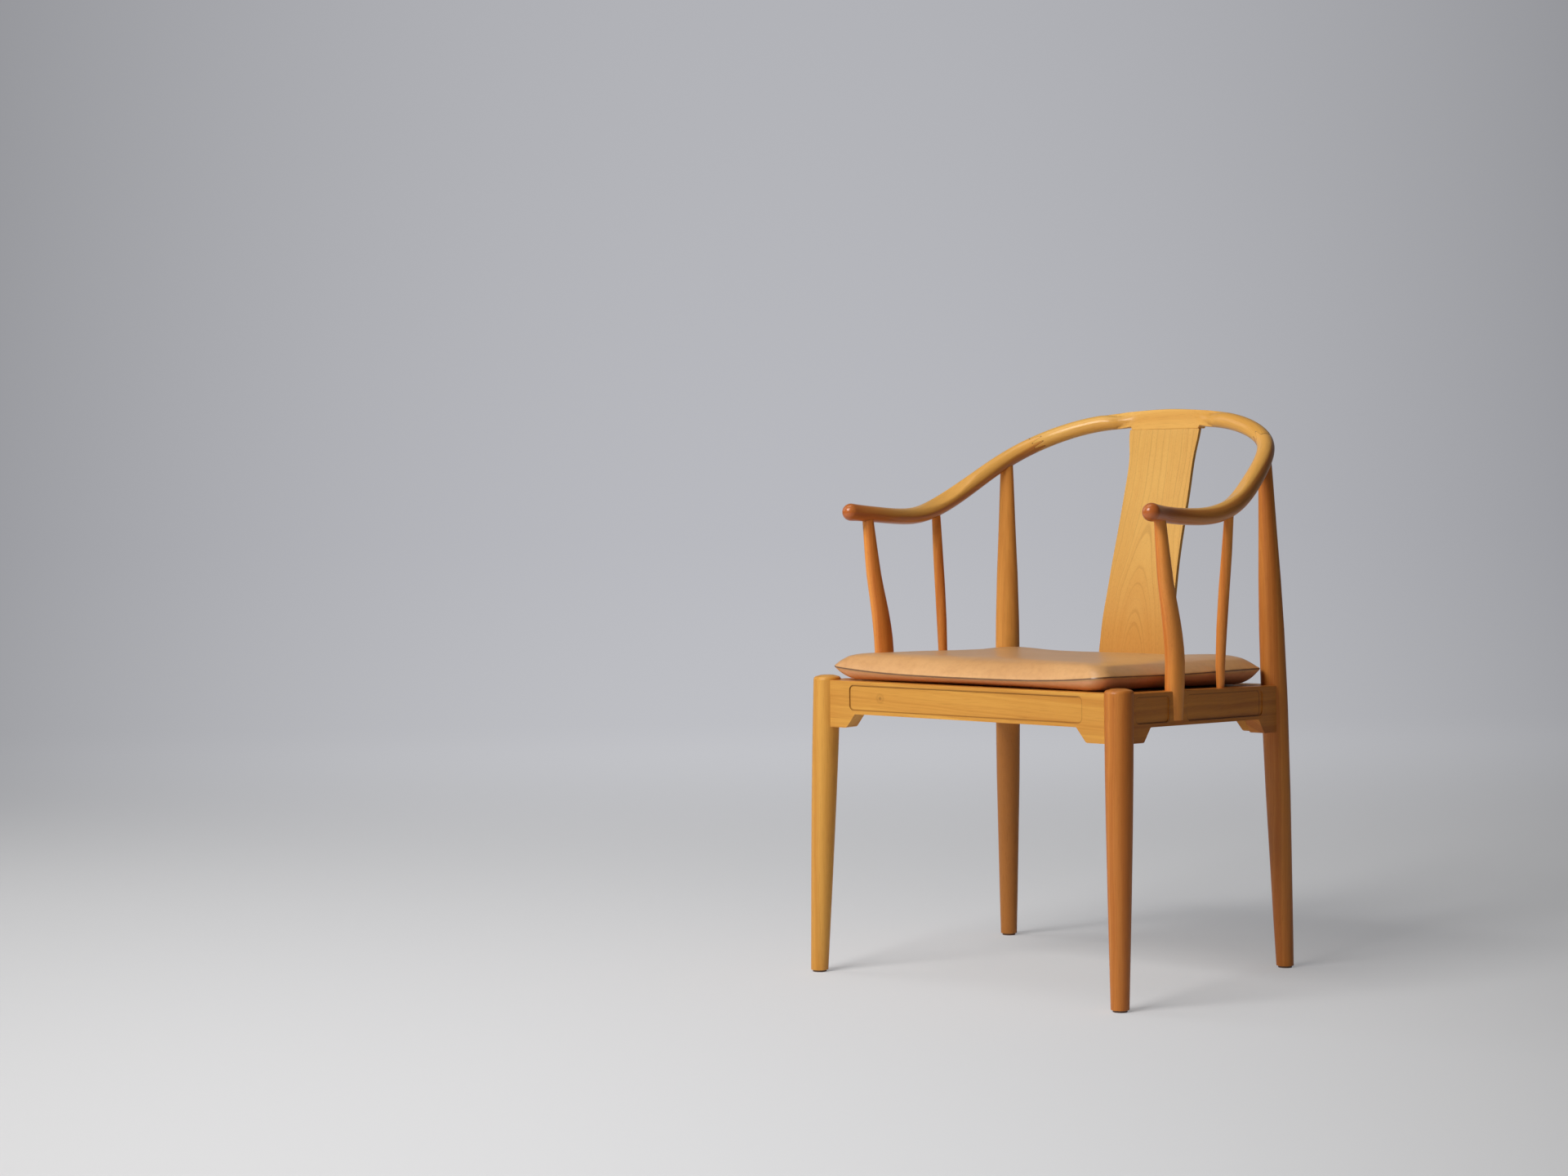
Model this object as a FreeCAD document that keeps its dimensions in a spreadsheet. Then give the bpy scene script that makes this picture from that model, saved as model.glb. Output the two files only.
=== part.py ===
import FreeCAD, Part

import math
import os

import Sketcher
from FreeCAD import Placement, Rotation, Vector

# Horseshoe back armchair: turned legs and posts, four seat rails with corner brackets, gooseneck arm
# posts lapped over the side rails, a round horseshoe rail in three pieces with finger joints, an
# S-curved splat and a loose cushion. Millimetres, +Z up, the sitter faces -Y, origin on the floor
# under the middle of the chair.

doc = FreeCAD.newDocument("horseshoe_armchair")
sheet = doc.addObject("Spreadsheet::Sheet", "sizes")

SIZES = (
    # seat frame
    ("seat_front_high", 428.0, "top of the front rail above the floor"),
    ("seat_fall", 15.0, "how much lower the seat is at the rear leg axes than at the front ones"),
    ("rail_thick", 24.0, "seat rails, inner face to outer face"),
    ("rail_deep", 47.5, "seat rails between their brackets"),
    ("rail_face_out", 11.5, "outer face of a rail beyond the line of the leg axes"),
    ("bracket_drop", 20.5, "how far a bracket hangs below its rail"),
    ("bracket_flat", 46.5, "flat foot of a bracket, from the leg axis"),
    ("bracket_run", 16.5, "run of a bracket's curve"),
    ("bracket_round", 5.5, "rounding at the foot of a bracket's curve"),
    ("bracket_cove", 3.5, "hollow rounding where the curve meets the rail"),
    ("field_deep", 1.5, "recess of the fields in the rails"),
    ("field_top_margin", 6.0, "plain strip above a field"),
    ("field_low_margin", 5.5, "plain strip below a field"),
    ("field_end_margin", 53.0, "plain strip at a field's end, from the leg axis"),
    ("field_near_leg", 25.0, "the side rail's front field starts this far from the leg axis"),
    ("field_round", 7.0, "corner radius of a field"),
    ("arris", 0.8, "bevel on the rails' long upper edges"),
    # front legs
    ("front_foot_out", 267.5, "front leg axis at the floor, from the middle plane"),
    ("front_foot_fore", 260.5, "front leg axis at the floor, ahead of the middle"),
    ("front_top_out", 259.0, "front leg axis at the top"),
    ("front_top_fore", 245.0, "front leg axis at the top"),
    ("front_leg_high", 434.5, "top of the front leg"),
    ("front_leg_dia", 40.0, "front leg at its thickest"),
    ("leg_top_round", 4.5, "rounding of the front leg's top rim"),
    ("leg_top_dome", 1.5, "dome on top of the front leg"),
    # rear posts
    ("rear_foot_out", 252.5, "rear post axis at the floor"),
    ("rear_foot_aft", 177.0, "rear post axis at the floor, behind the middle"),
    ("rear_post_dia", 38.5, "rear post at its thickest"),
    # foot glides
    ("glide_high", 3.0, "foot glide below the wood"),
    ("glide_dia", 20.0, "foot glide"),
    ("glide_nail", 2.8, "square nail of the glide in the leg, across its flats"),
    ("glide_nail_long", 14.0, "nail of the glide in the leg"),
    # horseshoe rail
    ("rail_half_wide", 267.5, "centre line of the horseshoe rail at its widest, from the middle plane"),
    ("tip_fore", 177.0, "centre of the rail's rounded tip, ahead of the middle"),
    ("crest_aft", 260.5, "centre line of the crest, behind the middle"),
    ("arm_low", 662.6, "centre line of the arm at its lowest"),
    ("crest_high", 806.8, "centre line of the crest above the floor"),
    ("bar_dia", 24.5, "horseshoe rail where it is round"),
    ("tip_dia", 24.9, "rounded end of the rail"),
    ("finger_long", 18.0, "length of the fingers in the rail's joints"),
    ("finger_pitch", 8.0, "spacing of the fingers"),
    ("finger_tip", 1.6, "blunt end of a finger"),
    # crest
    ("seam_drop", 17.8, "joint between crest and splat, below the crest's centre line"),
    ("splat_lean", 15.6, "lean of the splat's face at the crest, degrees"),
    ("lug_thick", 15.0, "crest's lug behind the flat face"),
    ("lug_flare", 12.0, "how far the lug's corners sweep out into the bar"),
    # splat
    ("splat_thick", 6.0, "back splat"),
    ("splat_top_wide", 126.0, "back splat at the seam"),
    ("splat_top_set", 12.5, "front face of the splat at the seam, ahead of the crest's centre line"),
    ("splat_foot_aft", 164.5, "front face of the splat at the back rail"),
    ("splat_tongue_thick", 3.2, "tongue of the splat in the crest"),
    ("splat_tongue_high", 8.0, "tongue of the splat in the crest"),
    ("splat_tongue_inset", 8.0, "shoulder at each end of the tongue"),
    ("splat_housing", 14.0, "depth of the splat's foot in the back rail"),
    # arm posts
    ("arm_post_seat_proud", 6.4, "arm post beyond the side rail's face at the seat"),
    ("arm_post_foot_proud", 5.2, "arm post beyond the side rail's face at the end of its lap"),
    ("arm_post_seat_fore", 112.5, "arm post axis just above the seat"),
    ("arm_post_foot_fore", 114.5, "arm post axis at the end of its lap"),
    ("arm_post_top_dia", 16.5, "arm post under the arm rail"),
    ("arm_post_seat_thick", 24.0, "arm post at the seat, across the chair"),
    ("arm_post_seat_deep", 34.0, "arm post at the seat, along the rail"),
    ("lap_low", 383.0, "lower end of the arm post's lap above the floor"),
    ("lap_depth", 8.0, "depth of the lap in the side rail"),
    ("lap_end", 6.5, "field ends this far from the arm post's lap"),
    # spindles
    ("spindle_foot_out", 250.0, "spindle axis at the side rail"),
    ("spindle_foot_aft", 15.5, "spindle axis at the side rail, behind the middle"),
    ("spindle_dia", 15.6, "spindle at its thickest"),
    ("tenon_dia", 8.0, "eight-sided tenons at the ends of spindles and arm posts"),
    ("post_tenon_dia", 12.0, "eight-sided tenon on the rear post"),
    ("tenon_long", 11.0, "eight-sided tenons, beyond their shoulder"),
    # rail tenons
    ("rail_tenon_thick", 9.0, "tenons of the seat rails"),
    ("rail_tenon_margin", 12.0, "shoulder above and below a rail tenon"),
    ("rail_tenon_reach", 8.0, "end of a rail tenon, from the leg axis"),
    # deck and blocks
    ("deck_thick", 9.0, "seat deck"),
    ("deck_drop", 1.5, "deck below the rails' top"),
    ("deck_gap", 2.0, "deck to the rails"),
    ("block_leg", 62.0, "corner block along each rail"),
    ("block_thick", 24.0, "corner block height"),
    ("block_nose", 14.0, "flat cut on the block's sharp ends"),
    # screws
    ("screw_dia", 4.0, "screws"),
    ("screw_head_dia", 8.0, "screw heads"),
    ("screw_head_high", 2.6, "screw heads"),
    ("screw_long", 30.0, "block screws"),
    ("deck_screw_long", 29.0, "deck screws"),
    # cushion
    ("cushion_spindle_gap", 1.9, "seam of the cushion to the spindles"),
    ("cushion_taper", 4.0, "how much narrower the cushion's half is at its rear seam than at its front one"),
    ("cushion_front_fore", 261.0, "front seam ahead of the middle"),
    ("cushion_rear_aft", 149.0, "rear seam behind the middle"),
    ("cushion_corner", 15.0, "corner radius at the seam"),
    ("cushion_rear_bow", 8.0, "how far the rear edge bows out at its middle"),
    ("cushion_seam_high", 18.0, "seam above the cushion's underside"),
    ("cushion_thick", 38.0, "cushion at its crown"),
    # clearances
    ("joint_gap", 0.1, "glue line in a joint"),
    ("rest_gap", 0.3, "cushion above the rails"),
    ("overrun", 5.0, "how far a cut runs past the wood"),
)

value = {}
for row, (alias, number, note) in enumerate(SIZES, start=1):
    sheet.set(f"A{row}", str(number))
    sheet.set(f"B{row}", note)
    sheet.setAlias(f"A{row}", alias)
    value[alias] = number
doc.recompute()


class Sizes:
    """Sizes read from the sheet, for shapes that are worked out in code."""

    def __getattr__(self, name):
        return float(sheet.get(name))


S = Sizes()

# Profiles, as shares of the sizes they follow
front_leg_height_shares = (0.0, 0.14, 0.34, 0.57, 0.76, 0.911, 0.975, 1.0)
front_leg_girth_shares = (0.64, 0.71, 0.81, 0.91, 0.965, 0.988, 0.998, 1.0)
front_leg_rim_shares = (0.5, 0.87, 1.0)
rear_post_height_shares = (0.0, 0.08, 0.20, 0.335, 0.502, 0.538, 0.66, 0.76, 0.85, 0.955, 1.0)
rear_post_girth_shares = (0.655, 0.73, 0.825, 0.93, 0.99, 0.99, 0.945, 0.84, 0.695, 0.55, 0.48)
spindle_height_shares = (0.0, 0.04, 0.14, 0.34, 0.55, 0.75, 0.93, 1.0)
spindle_girth_shares = (0.66, 0.74, 0.87, 0.97, 1.0, 0.96, 0.86, 0.80)
spindle_sweep_shares = (0.0, 0.0, 0.01, 0.17, 0.42, 0.70, 0.91, 1.0)
arm_post_height_shares = (0.0, 0.158, 0.275, 0.345, 0.41, 0.48, 0.545, 0.61, 0.68, 0.75, 0.82, 0.94, 1.0)
arm_post_fore_shares = (0.05, 0.04, 0.0, 0.045, 0.125, 0.235, 0.36, 0.495, 0.625, 0.72, 0.805, 0.94, 1.0)
arm_post_girth_shares = (0.90, 1.0, 1.0, 0.98, 0.93, 0.83, 0.72, 0.60, 0.48, 0.37, 0.25, 0.05, 0.0)
arm_post_depth_shares = (0.55, 0.95, 1.0, 0.97, 0.91, 0.80, 0.68, 0.57, 0.48, 0.38, 0.27, 0.05, 0.0)
arm_post_place_share = 0.0675
spindle_place_share = 0.450
rear_post_place_share = 0.770
rail_out_shares = (1.0, 0.966, 0.974, 0.991, 0.983, 0.948, 0.897, 0.804, 0.649, 0.441, 0.225, 0.0)
rail_aft_shares = (0.0, 0.119, 0.242, 0.368, 0.495, 0.621, 0.737, 0.842, 0.913, 0.961, 0.9925, 1.0)
rail_rise_shares = (0.058, 0.024, 0.0, 0.018, 0.134, 0.322, 0.523, 0.707, 0.851, 0.948, 0.985, 1.0)
rail_wide_shares = (0.99, 0.97, 1.03, 1.15, 1.21, 1.14, 1.07, 1.03, 1.02, 1.02, 1.0, 1.02)
rail_high_shares = (0.99, 0.96, 0.97, 1.05, 1.15, 1.12, 1.07, 1.04, 1.02, 1.0, 1.02, 1.06)
rail_bend_stations = (3, 4, 5, 7, 8)
tip_reach_shares = (0.98, 0.82, 0.5)
tip_girth_shares = (0.2, 0.572, 0.866)
finger_station_share = 0.27
side_screw_share = 0.58
deck_screw_share = 0.3
splat_height_shares = (0.0, 0.07, 0.16, 0.26, 0.36, 0.47, 0.62, 0.77, 0.91, 1.0)
splat_aft_shares = (0.0, 0.0, 0.030, 0.083, 0.19, 0.318, 0.528, 0.740, 0.908, 1.0)
splat_wide_shares = (1.08, 1.08, 1.05, 1.01, 0.975, 0.947, 0.925, 0.92, 0.937, 1.0)
cushion_level_shares = (0.0, 0.04, 0.14, 0.30, 0.47, 0.62, 0.76, 0.87, 0.945, 0.985, 1.0)
cushion_inset_shares = (1.67, 1.11, 0.5, 0.14, 0.0, 0.11, 0.33, 0.72, 1.5, 3.05, 6.1)

# Sides of a tenon or a screw, which nobody sees
PEG_SIDES = 8

# Lengths worked out below from the sheet, for the sketches that need them
runs = doc.addObject("App::FeaturePython", "runs")


def worked_out(name, length):
    """Keeps a length that is worked out in code where a sketch can follow it."""
    runs.addProperty("App::PropertyFloat", name)
    setattr(runs, name, length)


PLANES = {"XY": "XY_Plane", "XZ": "XZ_Plane", "YZ": "YZ_Plane"}


def origin_plane(body, name):
    """One of the body's own origin planes."""
    for feature in body.Origin.OriginFeatures:
        if feature.Role == PLANES[name]:
            return feature
    raise RuntimeError("no plane " + name)


def new_body(name):
    return doc.addObject("PartDesign::Body", name)


def new_sketch(body, name, plane, lift="0"):
    """A sketch on an origin plane, moved along the plane's normal."""
    sketch = body.newObject("Sketcher::SketchObject", name)
    sketch.AttachmentSupport = [(origin_plane(body, plane), "")]
    sketch.MapMode = "FlatFace"
    sketch.setExpression(".AttachmentOffset.Base.z", lift)
    return sketch


def number(expression):
    """An expression's value in plain millimetres."""
    result = sheet.evalExpression(expression)
    return float(getattr(result, "Value", result))


def place_vertex(sketch, line, across, up):
    """Ties the start of a line to its place in the sketch."""
    for kind, size in (("DistanceX", across), ("DistanceY", up)):
        here = number(size)
        index = sketch.addConstraint(Sketcher.Constraint(kind, -1, 1, line, 1, here))
        sketch.setExpression(f"Constraints[{index}]", size)


def polygon(sketch, corners):
    """A closed outline whose corners are pairs of expressions."""
    spots = [Vector(number(across), number(up), 0) for across, up in corners]
    count = len(spots)
    for k in range(count):
        sketch.addGeometry(Part.LineSegment(spots[k], spots[(k + 1) % count]), False)
    for k in range(count):
        sketch.addConstraint(Sketcher.Constraint("Coincident", k, 2, (k + 1) % count, 1))
    for k, (across, up) in enumerate(corners):
        place_vertex(sketch, k, across, up)


def circle(sketch, across, up, radius):
    """A circle with its centre and radius given as expressions."""
    centre = Vector(number(across), number(up), 0)
    index = sketch.addGeometry(Part.Circle(centre, Vector(0, 0, 1), number(radius)), False)
    for kind, size in (("DistanceX", across), ("DistanceY", up)):
        spot = sketch.addConstraint(Sketcher.Constraint(kind, -1, 1, index, 3, number(size)))
        sketch.setExpression(f"Constraints[{spot}]", size)
    rim = sketch.addConstraint(Sketcher.Constraint("Radius", index, number(radius)))
    sketch.setExpression(f"Constraints[{rim}]", radius)


def share_of(low, high, share):
    """The expression for a place between two others."""
    return f"({low}) + (({high}) - ({low})) * {share}"


def turned_member(name, heights, across, along, radii):
    """A round tapering piece: a ruled loft through level circles."""
    body = new_body(name)
    sections = []
    for k, height in enumerate(heights):
        sketch = new_sketch(body, f"{name}_ring_{k}", "XY", height)
        circle(sketch, across[k], along[k], radii[k])
        sections.append(sketch)
    loft = body.newObject("PartDesign::AdditiveLoft", name + "_loft")
    loft.Profile = sections[0]
    loft.Sections = sections[1:]
    loft.Ruled = True
    doc.recompute()
    return body


def edges_where(shape, test):
    """Names of the edges whose middle passes a test."""
    names = []
    for k, edge in enumerate(shape.Edges, start=1):
        middle = edge.valueAt((edge.FirstParameter + edge.LastParameter) / 2)
        if test(edge, middle):
            names.append(f"Edge{k}")
    return names


def round_edges(body, base, test, radius, name):
    """A fillet on the edges that pass the test."""
    names = edges_where(base.Shape, test)
    if not names:
        raise RuntimeError("no edges for " + name)
    fillet = body.newObject("PartDesign::Fillet", name)
    fillet.Base = (base, names)
    fillet.setExpression("Radius", radius)
    doc.recompute()
    return fillet


def cut(name, base, *tools):
    """The base without the tools."""
    tool = tools[0]
    if len(tools) > 1:
        tool = doc.addObject("Part::Compound", name + "_tools")
        tool.Links = list(tools)
    result = doc.addObject("Part::Cut", name)
    result.Base = base
    result.Tool = tool
    doc.recompute()
    if not base.Shape.Volume > result.Shape.Volume > 0:
        raise RuntimeError(name + " cuts nothing")
    return result


def join(name, *pieces):
    result = doc.addObject("Part::MultiFuse", name)
    result.Shapes = list(pieces)
    result.Refine = True
    doc.recompute()
    return result


def shaped(name, shape):
    """A piece whose shape is worked out in code."""
    feature = doc.addObject("Part::Feature", name)
    feature.Shape = shape
    return feature


def mirrored(name, source):
    """The same piece for the other side of the chair."""
    result = doc.addObject("Part::Mirroring", name)
    result.Source = source
    result.Normal = Vector(1, 0, 0)
    result.Base = Vector(0, 0, 0)
    doc.recompute()
    return result


nodes = {}


def keep(name, piece):
    """Names a finished piece."""
    piece.Label = name
    nodes[name] = piece
    return piece


# Path of the horseshoe rail, which the posts, spindles and splat reach up to

def rail_stations():
    """Centre line, width and height of the rail's right half, from the tip to the crest's middle."""
    stations = []
    for out, aft, rise, wide, high in zip(rail_out_shares, rail_aft_shares, rail_rise_shares,
                                          rail_wide_shares, rail_high_shares):
        spot = Vector(S.rail_half_wide * out, -S.tip_fore + (S.crest_aft + S.tip_fore) * aft,
                      S.arm_low + (S.crest_high - S.arm_low) * rise)
        stations.append((spot, S.bar_dia * wide, S.bar_dia * high))
    return stations


def horseshoe_path(stations):
    """A smooth curve through the right half and its mirror image."""
    right = [spot for spot, wide, high in stations]
    left = [Vector(-spot.x, spot.y, spot.z) for spot in reversed(right[:-1])]
    curve = Part.BSplineCurve()
    curve.interpolate(right + left)
    return curve


rail_curve = horseshoe_path(rail_stations())
seam_high = S.crest_high - S.seam_drop
splat_top_aft = S.crest_aft - S.splat_top_set


def path_spot(share):
    """The rail's centre at a share of the way back from its tip to its crest."""
    goal = -S.tip_fore + (S.crest_aft + S.tip_fore) * share
    low = rail_curve.parameter(rail_stations()[0][0])
    high = rail_curve.parameter(rail_stations()[-1][0])
    for halving in range(60):
        middle = (low + high) / 2
        if rail_curve.value(middle).y < goal:
            low = middle
        else:
            high = middle
    return rail_curve.value(low)


arm_top = path_spot(arm_post_place_share)
spindle_top = path_spot(spindle_place_share)
rear_top = path_spot(rear_post_place_share)
for place, spot in (("arm_top", arm_top), ("spindle_top", spindle_top), ("rear_top", rear_top)):
    worked_out(place + "_out", spot.x)
    worked_out(place + "_aft", spot.y)
    worked_out(place + "_high", spot.z)

# Legs and posts

def leg_axis(kind, height):
    """Expressions for a leg's axis at a height: across the chair and along it."""
    if kind == "front":
        top, out, along = "sizes.front_leg_high", ("sizes.front_foot_out", "sizes.front_top_out"), (
            "-sizes.front_foot_fore", "-sizes.front_top_fore")
    else:
        top, out, along = "runs.rear_top_high", ("sizes.rear_foot_out", "runs.rear_top_out"), (
            "sizes.rear_foot_aft", "runs.rear_top_aft")
    across = f"{out[0]} + ({out[1]} - {out[0]}) * ({height}) / {top}"
    fore = f"{along[0]} + ({along[1]} - ({along[0]})) * ({height}) / {top}"
    return across, fore


def axis_point(kind, height):
    across, along = leg_axis(kind, str(height))
    return Vector(number(across), number(along), height)


def turned_leg(name, kind, grow="0"):
    """A leg or post from above its glide to its top; the front one has a rounded rim and a low dome."""
    low = "sizes.glide_high"
    if kind == "front":
        top, dia = "sizes.front_leg_high", "sizes.front_leg_dia"
        shares, girths = front_leg_height_shares, front_leg_girth_shares
        rim = "sizes.leg_top_round"
        heights = [share_of(low, f"{top} - {rim} - sizes.leg_top_dome", share) for share in shares]
    else:
        top, dia = "runs.rear_top_high", "sizes.rear_post_dia"
        shares, girths = rear_post_height_shares, rear_post_girth_shares
        heights = [share_of(low, top, share) for share in shares]
    radii = [f"{dia} / 2 * {girth} + {grow}" for girth in girths]
    if kind == "front":
        for share in front_leg_rim_shares:
            heights.append(f"{top} - sizes.leg_top_dome - {rim} * {1 - share}")
            radii.append(f"{dia} / 2 - {rim} * {1 - math.sqrt(1 - share ** 2)} + {grow}")
        heights.append(top)
        radii.append(f"{dia} / 4 + {grow}")
    axes = [leg_axis(kind, height) for height in heights]
    across = [spot[0] for spot in axes]
    along = [spot[1] for spot in axes]
    return turned_member(name, heights, across, along, radii)


front_leg = turned_leg("front_leg_turning", "front")
rear_post_blank = turned_leg("rear_post_turning", "rear")
front_leg_room = turned_leg("front_leg_room", "front", "sizes.joint_gap")
rear_post_room = turned_leg("rear_post_room", "rear", "sizes.joint_gap")

# Seat frame

seat_axis_front = leg_axis("front", "sizes.seat_front_high - sizes.rail_deep / 2")
seat_axis_rear = leg_axis("rear", "sizes.seat_front_high - sizes.seat_fall - sizes.rail_deep / 2")
seat_corner = {
    "front": Vector(number(seat_axis_front[0]), number(seat_axis_front[1]), S.seat_front_high),
    "rear": Vector(number(seat_axis_rear[0]), number(seat_axis_rear[1]), S.seat_front_high - S.seat_fall),
}
seat_run = seat_corner["rear"].y - seat_corner["front"].y
seat_pitch = math.degrees(math.atan2(S.seat_fall, seat_run))
side_yaw = math.degrees(math.atan2(seat_run, seat_corner["rear"].x - seat_corner["front"].x))
side_length = (seat_corner["rear"] - seat_corner["front"]).Length


def seat_height(along):
    """Height of the rails' top plane at a place along the chair."""
    return S.seat_front_high - S.seat_fall * (along - seat_corner["front"].y) / seat_run


rail_frames = {
    "front_rail": (Placement(Vector(-seat_corner["front"].x, seat_corner["front"].y, S.seat_front_high),
                             Rotation(0, 0, 0)), 2 * seat_corner["front"].x),
    "back_rail": (Placement(Vector(seat_corner["rear"].x, seat_corner["rear"].y,
                                   S.seat_front_high - S.seat_fall), Rotation(180, 0, 0)),
                  2 * seat_corner["rear"].x),
    "side_rail": (Placement(seat_corner["front"],
                            Rotation(side_yaw, math.degrees(math.asin(S.seat_fall / side_length)), 0)),
                  side_length),
}


for rail, (rail_place, rail_run) in rail_frames.items():
    worked_out(rail, rail_run)


def rail_blank(name, fields):
    """A seat rail along its own X from one leg axis to the next, outer face towards -Y."""
    place, length = rail_frames[name]
    body = new_body(name + "_board")
    span = f"runs.{name}"
    drop = "-sizes.rail_deep"
    foot = "-sizes.rail_deep - sizes.bracket_drop"
    far = f"{span} - sizes.bracket_flat"
    near_end = "sizes.rail_thick - sizes.rail_face_out + sizes.joint_gap"
    far_end = f"{span} - ({near_end})"
    outline = new_sketch(body, name + "_outline", "XZ", "sizes.rail_face_out - sizes.rail_thick")
    polygon(outline, (
        (near_end, "0"),
        (near_end, foot),
        ("sizes.bracket_flat", foot),
        ("sizes.bracket_flat + sizes.bracket_run", drop),
        (f"{far} - sizes.bracket_run", drop),
        (far, foot),
        (far_end, foot),
        (far_end, "0"),
    ))
    board = body.newObject("PartDesign::Pad", name + "_pad")
    board.Profile = outline
    board.setExpression("Length", "sizes.rail_thick")
    doc.recompute()
    deep = S.rail_deep
    low = deep + S.bracket_drop
    step = S.arris

    def across_board(edge):
        return abs(edge.tangentAt(edge.FirstParameter).y) > 1 - step / low

    rounded = round_edges(
        body, board,
        lambda edge, middle: across_board(edge) and abs(middle.z + low) < step
        and S.bracket_flat - step < middle.x < length - S.bracket_flat + step,
        "sizes.bracket_round", name + "_bracket_round")
    coved = round_edges(
        body, rounded,
        lambda edge, middle: across_board(edge) and abs(middle.z + deep) < step
        and S.bracket_flat < middle.x < length - S.bracket_flat,
        "sizes.bracket_cove", name + "_bracket_cove")
    tip = coved
    for k, (start, end) in enumerate(fields):
        before = tip.Shape.Volume
        sketch = new_sketch(body, f"{name}_field_{k}", "XZ", "sizes.rail_face_out")
        top = "-sizes.field_top_margin"
        base = "-sizes.rail_deep + sizes.field_low_margin"
        polygon(sketch, ((start, base), (end, base), (end, top), (start, top)))
        pocket = body.newObject("PartDesign::Pocket", f"{name}_field_pocket_{k}")
        pocket.Profile = sketch
        pocket.setExpression("Length", "sizes.field_deep")
        doc.recompute()
        if not pocket.Shape.Volume < before:
            raise RuntimeError(name + " field cuts nothing")
        left, right = number(start), number(end)
        tip = round_edges(
            body, pocket,
            lambda edge, middle: across_board(edge) and edge.Length < S.field_deep + step
            and min(abs(middle.x - left), abs(middle.x - right)) < step and middle.z > -deep,
            "sizes.field_round", f"{name}_field_corners_{k}")
    arris = body.newObject("PartDesign::Chamfer", name + "_arris")
    arris.Base = (tip, edges_where(
        tip.Shape, lambda edge, middle: abs(edge.tangentAt(edge.FirstParameter).x) > 1 - step / low
        and abs(middle.z) < step and edge.Length > length / 2))
    arris.setExpression("Size", "sizes.arris")
    doc.recompute()
    body.Placement = place
    doc.recompute()
    return body


def rail_tenon(name, rail, end, grow=0.0):
    """The tenon at one end of a rail; grow makes the mortise that takes it."""
    place, length = rail_frames[rail]
    thick = S.rail_tenon_thick + 2 * grow
    high = S.rail_deep - 2 * S.rail_tenon_margin + 2 * grow
    root = S.front_leg_dia / 2 + S.overrun
    reach = S.rail_tenon_reach - grow
    start = reach if end == "start" else length - root
    box = doc.addObject("Part::Box", name)
    box.Length = root - reach
    box.Width = thick
    box.Height = high
    middle = S.rail_thick / 2 - S.rail_face_out
    corner = Vector(start, middle - thick / 2, -S.rail_deep + S.rail_tenon_margin - grow)
    box.Placement = place.multiply(Placement(corner, Rotation(0, 0, 0)))
    return box


front_fields = (("sizes.field_end_margin", "runs.front_rail - sizes.field_end_margin"),)
back_fields = (("sizes.field_end_margin", "runs.back_rail - sizes.field_end_margin"),)
side_fields = (
    ("sizes.field_near_leg",
     f"sizes.front_top_fore - sizes.arm_post_seat_fore - sizes.arm_post_seat_deep / 2 - sizes.lap_end"),
    ("sizes.front_top_fore - sizes.arm_post_seat_fore + sizes.arm_post_seat_deep / 2 + sizes.lap_end",
     "runs.side_rail - sizes.field_end_margin"),
)

front_board = rail_blank("front_rail", front_fields)
back_board = rail_blank("back_rail", back_fields)
side_board = rail_blank("side_rail", side_fields)

front_leg_room_left = mirrored("front_leg_room_left", front_leg_room)
rear_post_room_left = mirrored("rear_post_room_left", rear_post_room)

tenons = {
    key: rail_tenon("tenon_" + "_".join(key), key[0], key[1])
    for key in (("front_rail", "start"), ("front_rail", "end"), ("back_rail", "start"),
                ("back_rail", "end"), ("side_rail", "start"), ("side_rail", "end"))
}
mortises = {
    key: rail_tenon("mortise_" + "_".join(key), key[0], key[1], S.joint_gap)
    for key in (("front_rail", "end"), ("back_rail", "start"), ("side_rail", "start"),
                ("side_rail", "end"))
}

# Horseshoe rail

def oval_ring(spot, first, second):
    """An oval round a spot: first and second are its half axes."""
    through = first.cross(second).normalize()
    matrix = FreeCAD.Matrix(
        first.x, second.x, through.x, spot.x,
        first.y, second.y, through.y, spot.y,
        first.z, second.z, through.z, spot.z,
        0, 0, 0, 1)
    unit = Part.Wire([Part.Circle().toShape()])
    return Part.Wire(unit.transformGeometry(matrix).Edges)


def section_ring(spot, tangent, wide, high):
    """An oval across the rail: wide is level, high stands square to it."""
    level = tangent.cross(Vector(0, 0, 1)).normalize()
    upright = level.cross(tangent).normalize()
    return oval_ring(spot, level * (wide / 2), upright * (high / 2))


def hole_ends(spot, dia):
    """Where on the path rings stand on both sides of a tenon's hole, which opens below a sloping rail."""
    middle = rail_curve.parameter(spot)
    speed = rail_curve.getD1(middle)[1]
    slope = math.asin(speed.z / speed.Length)
    back = S.bar_dia / 2 * math.tan(slope)
    reach = (dia / 2 + S.arris) / math.cos(slope)
    return middle - (back + reach) / speed.Length, middle - (back - reach) / speed.Length


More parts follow.
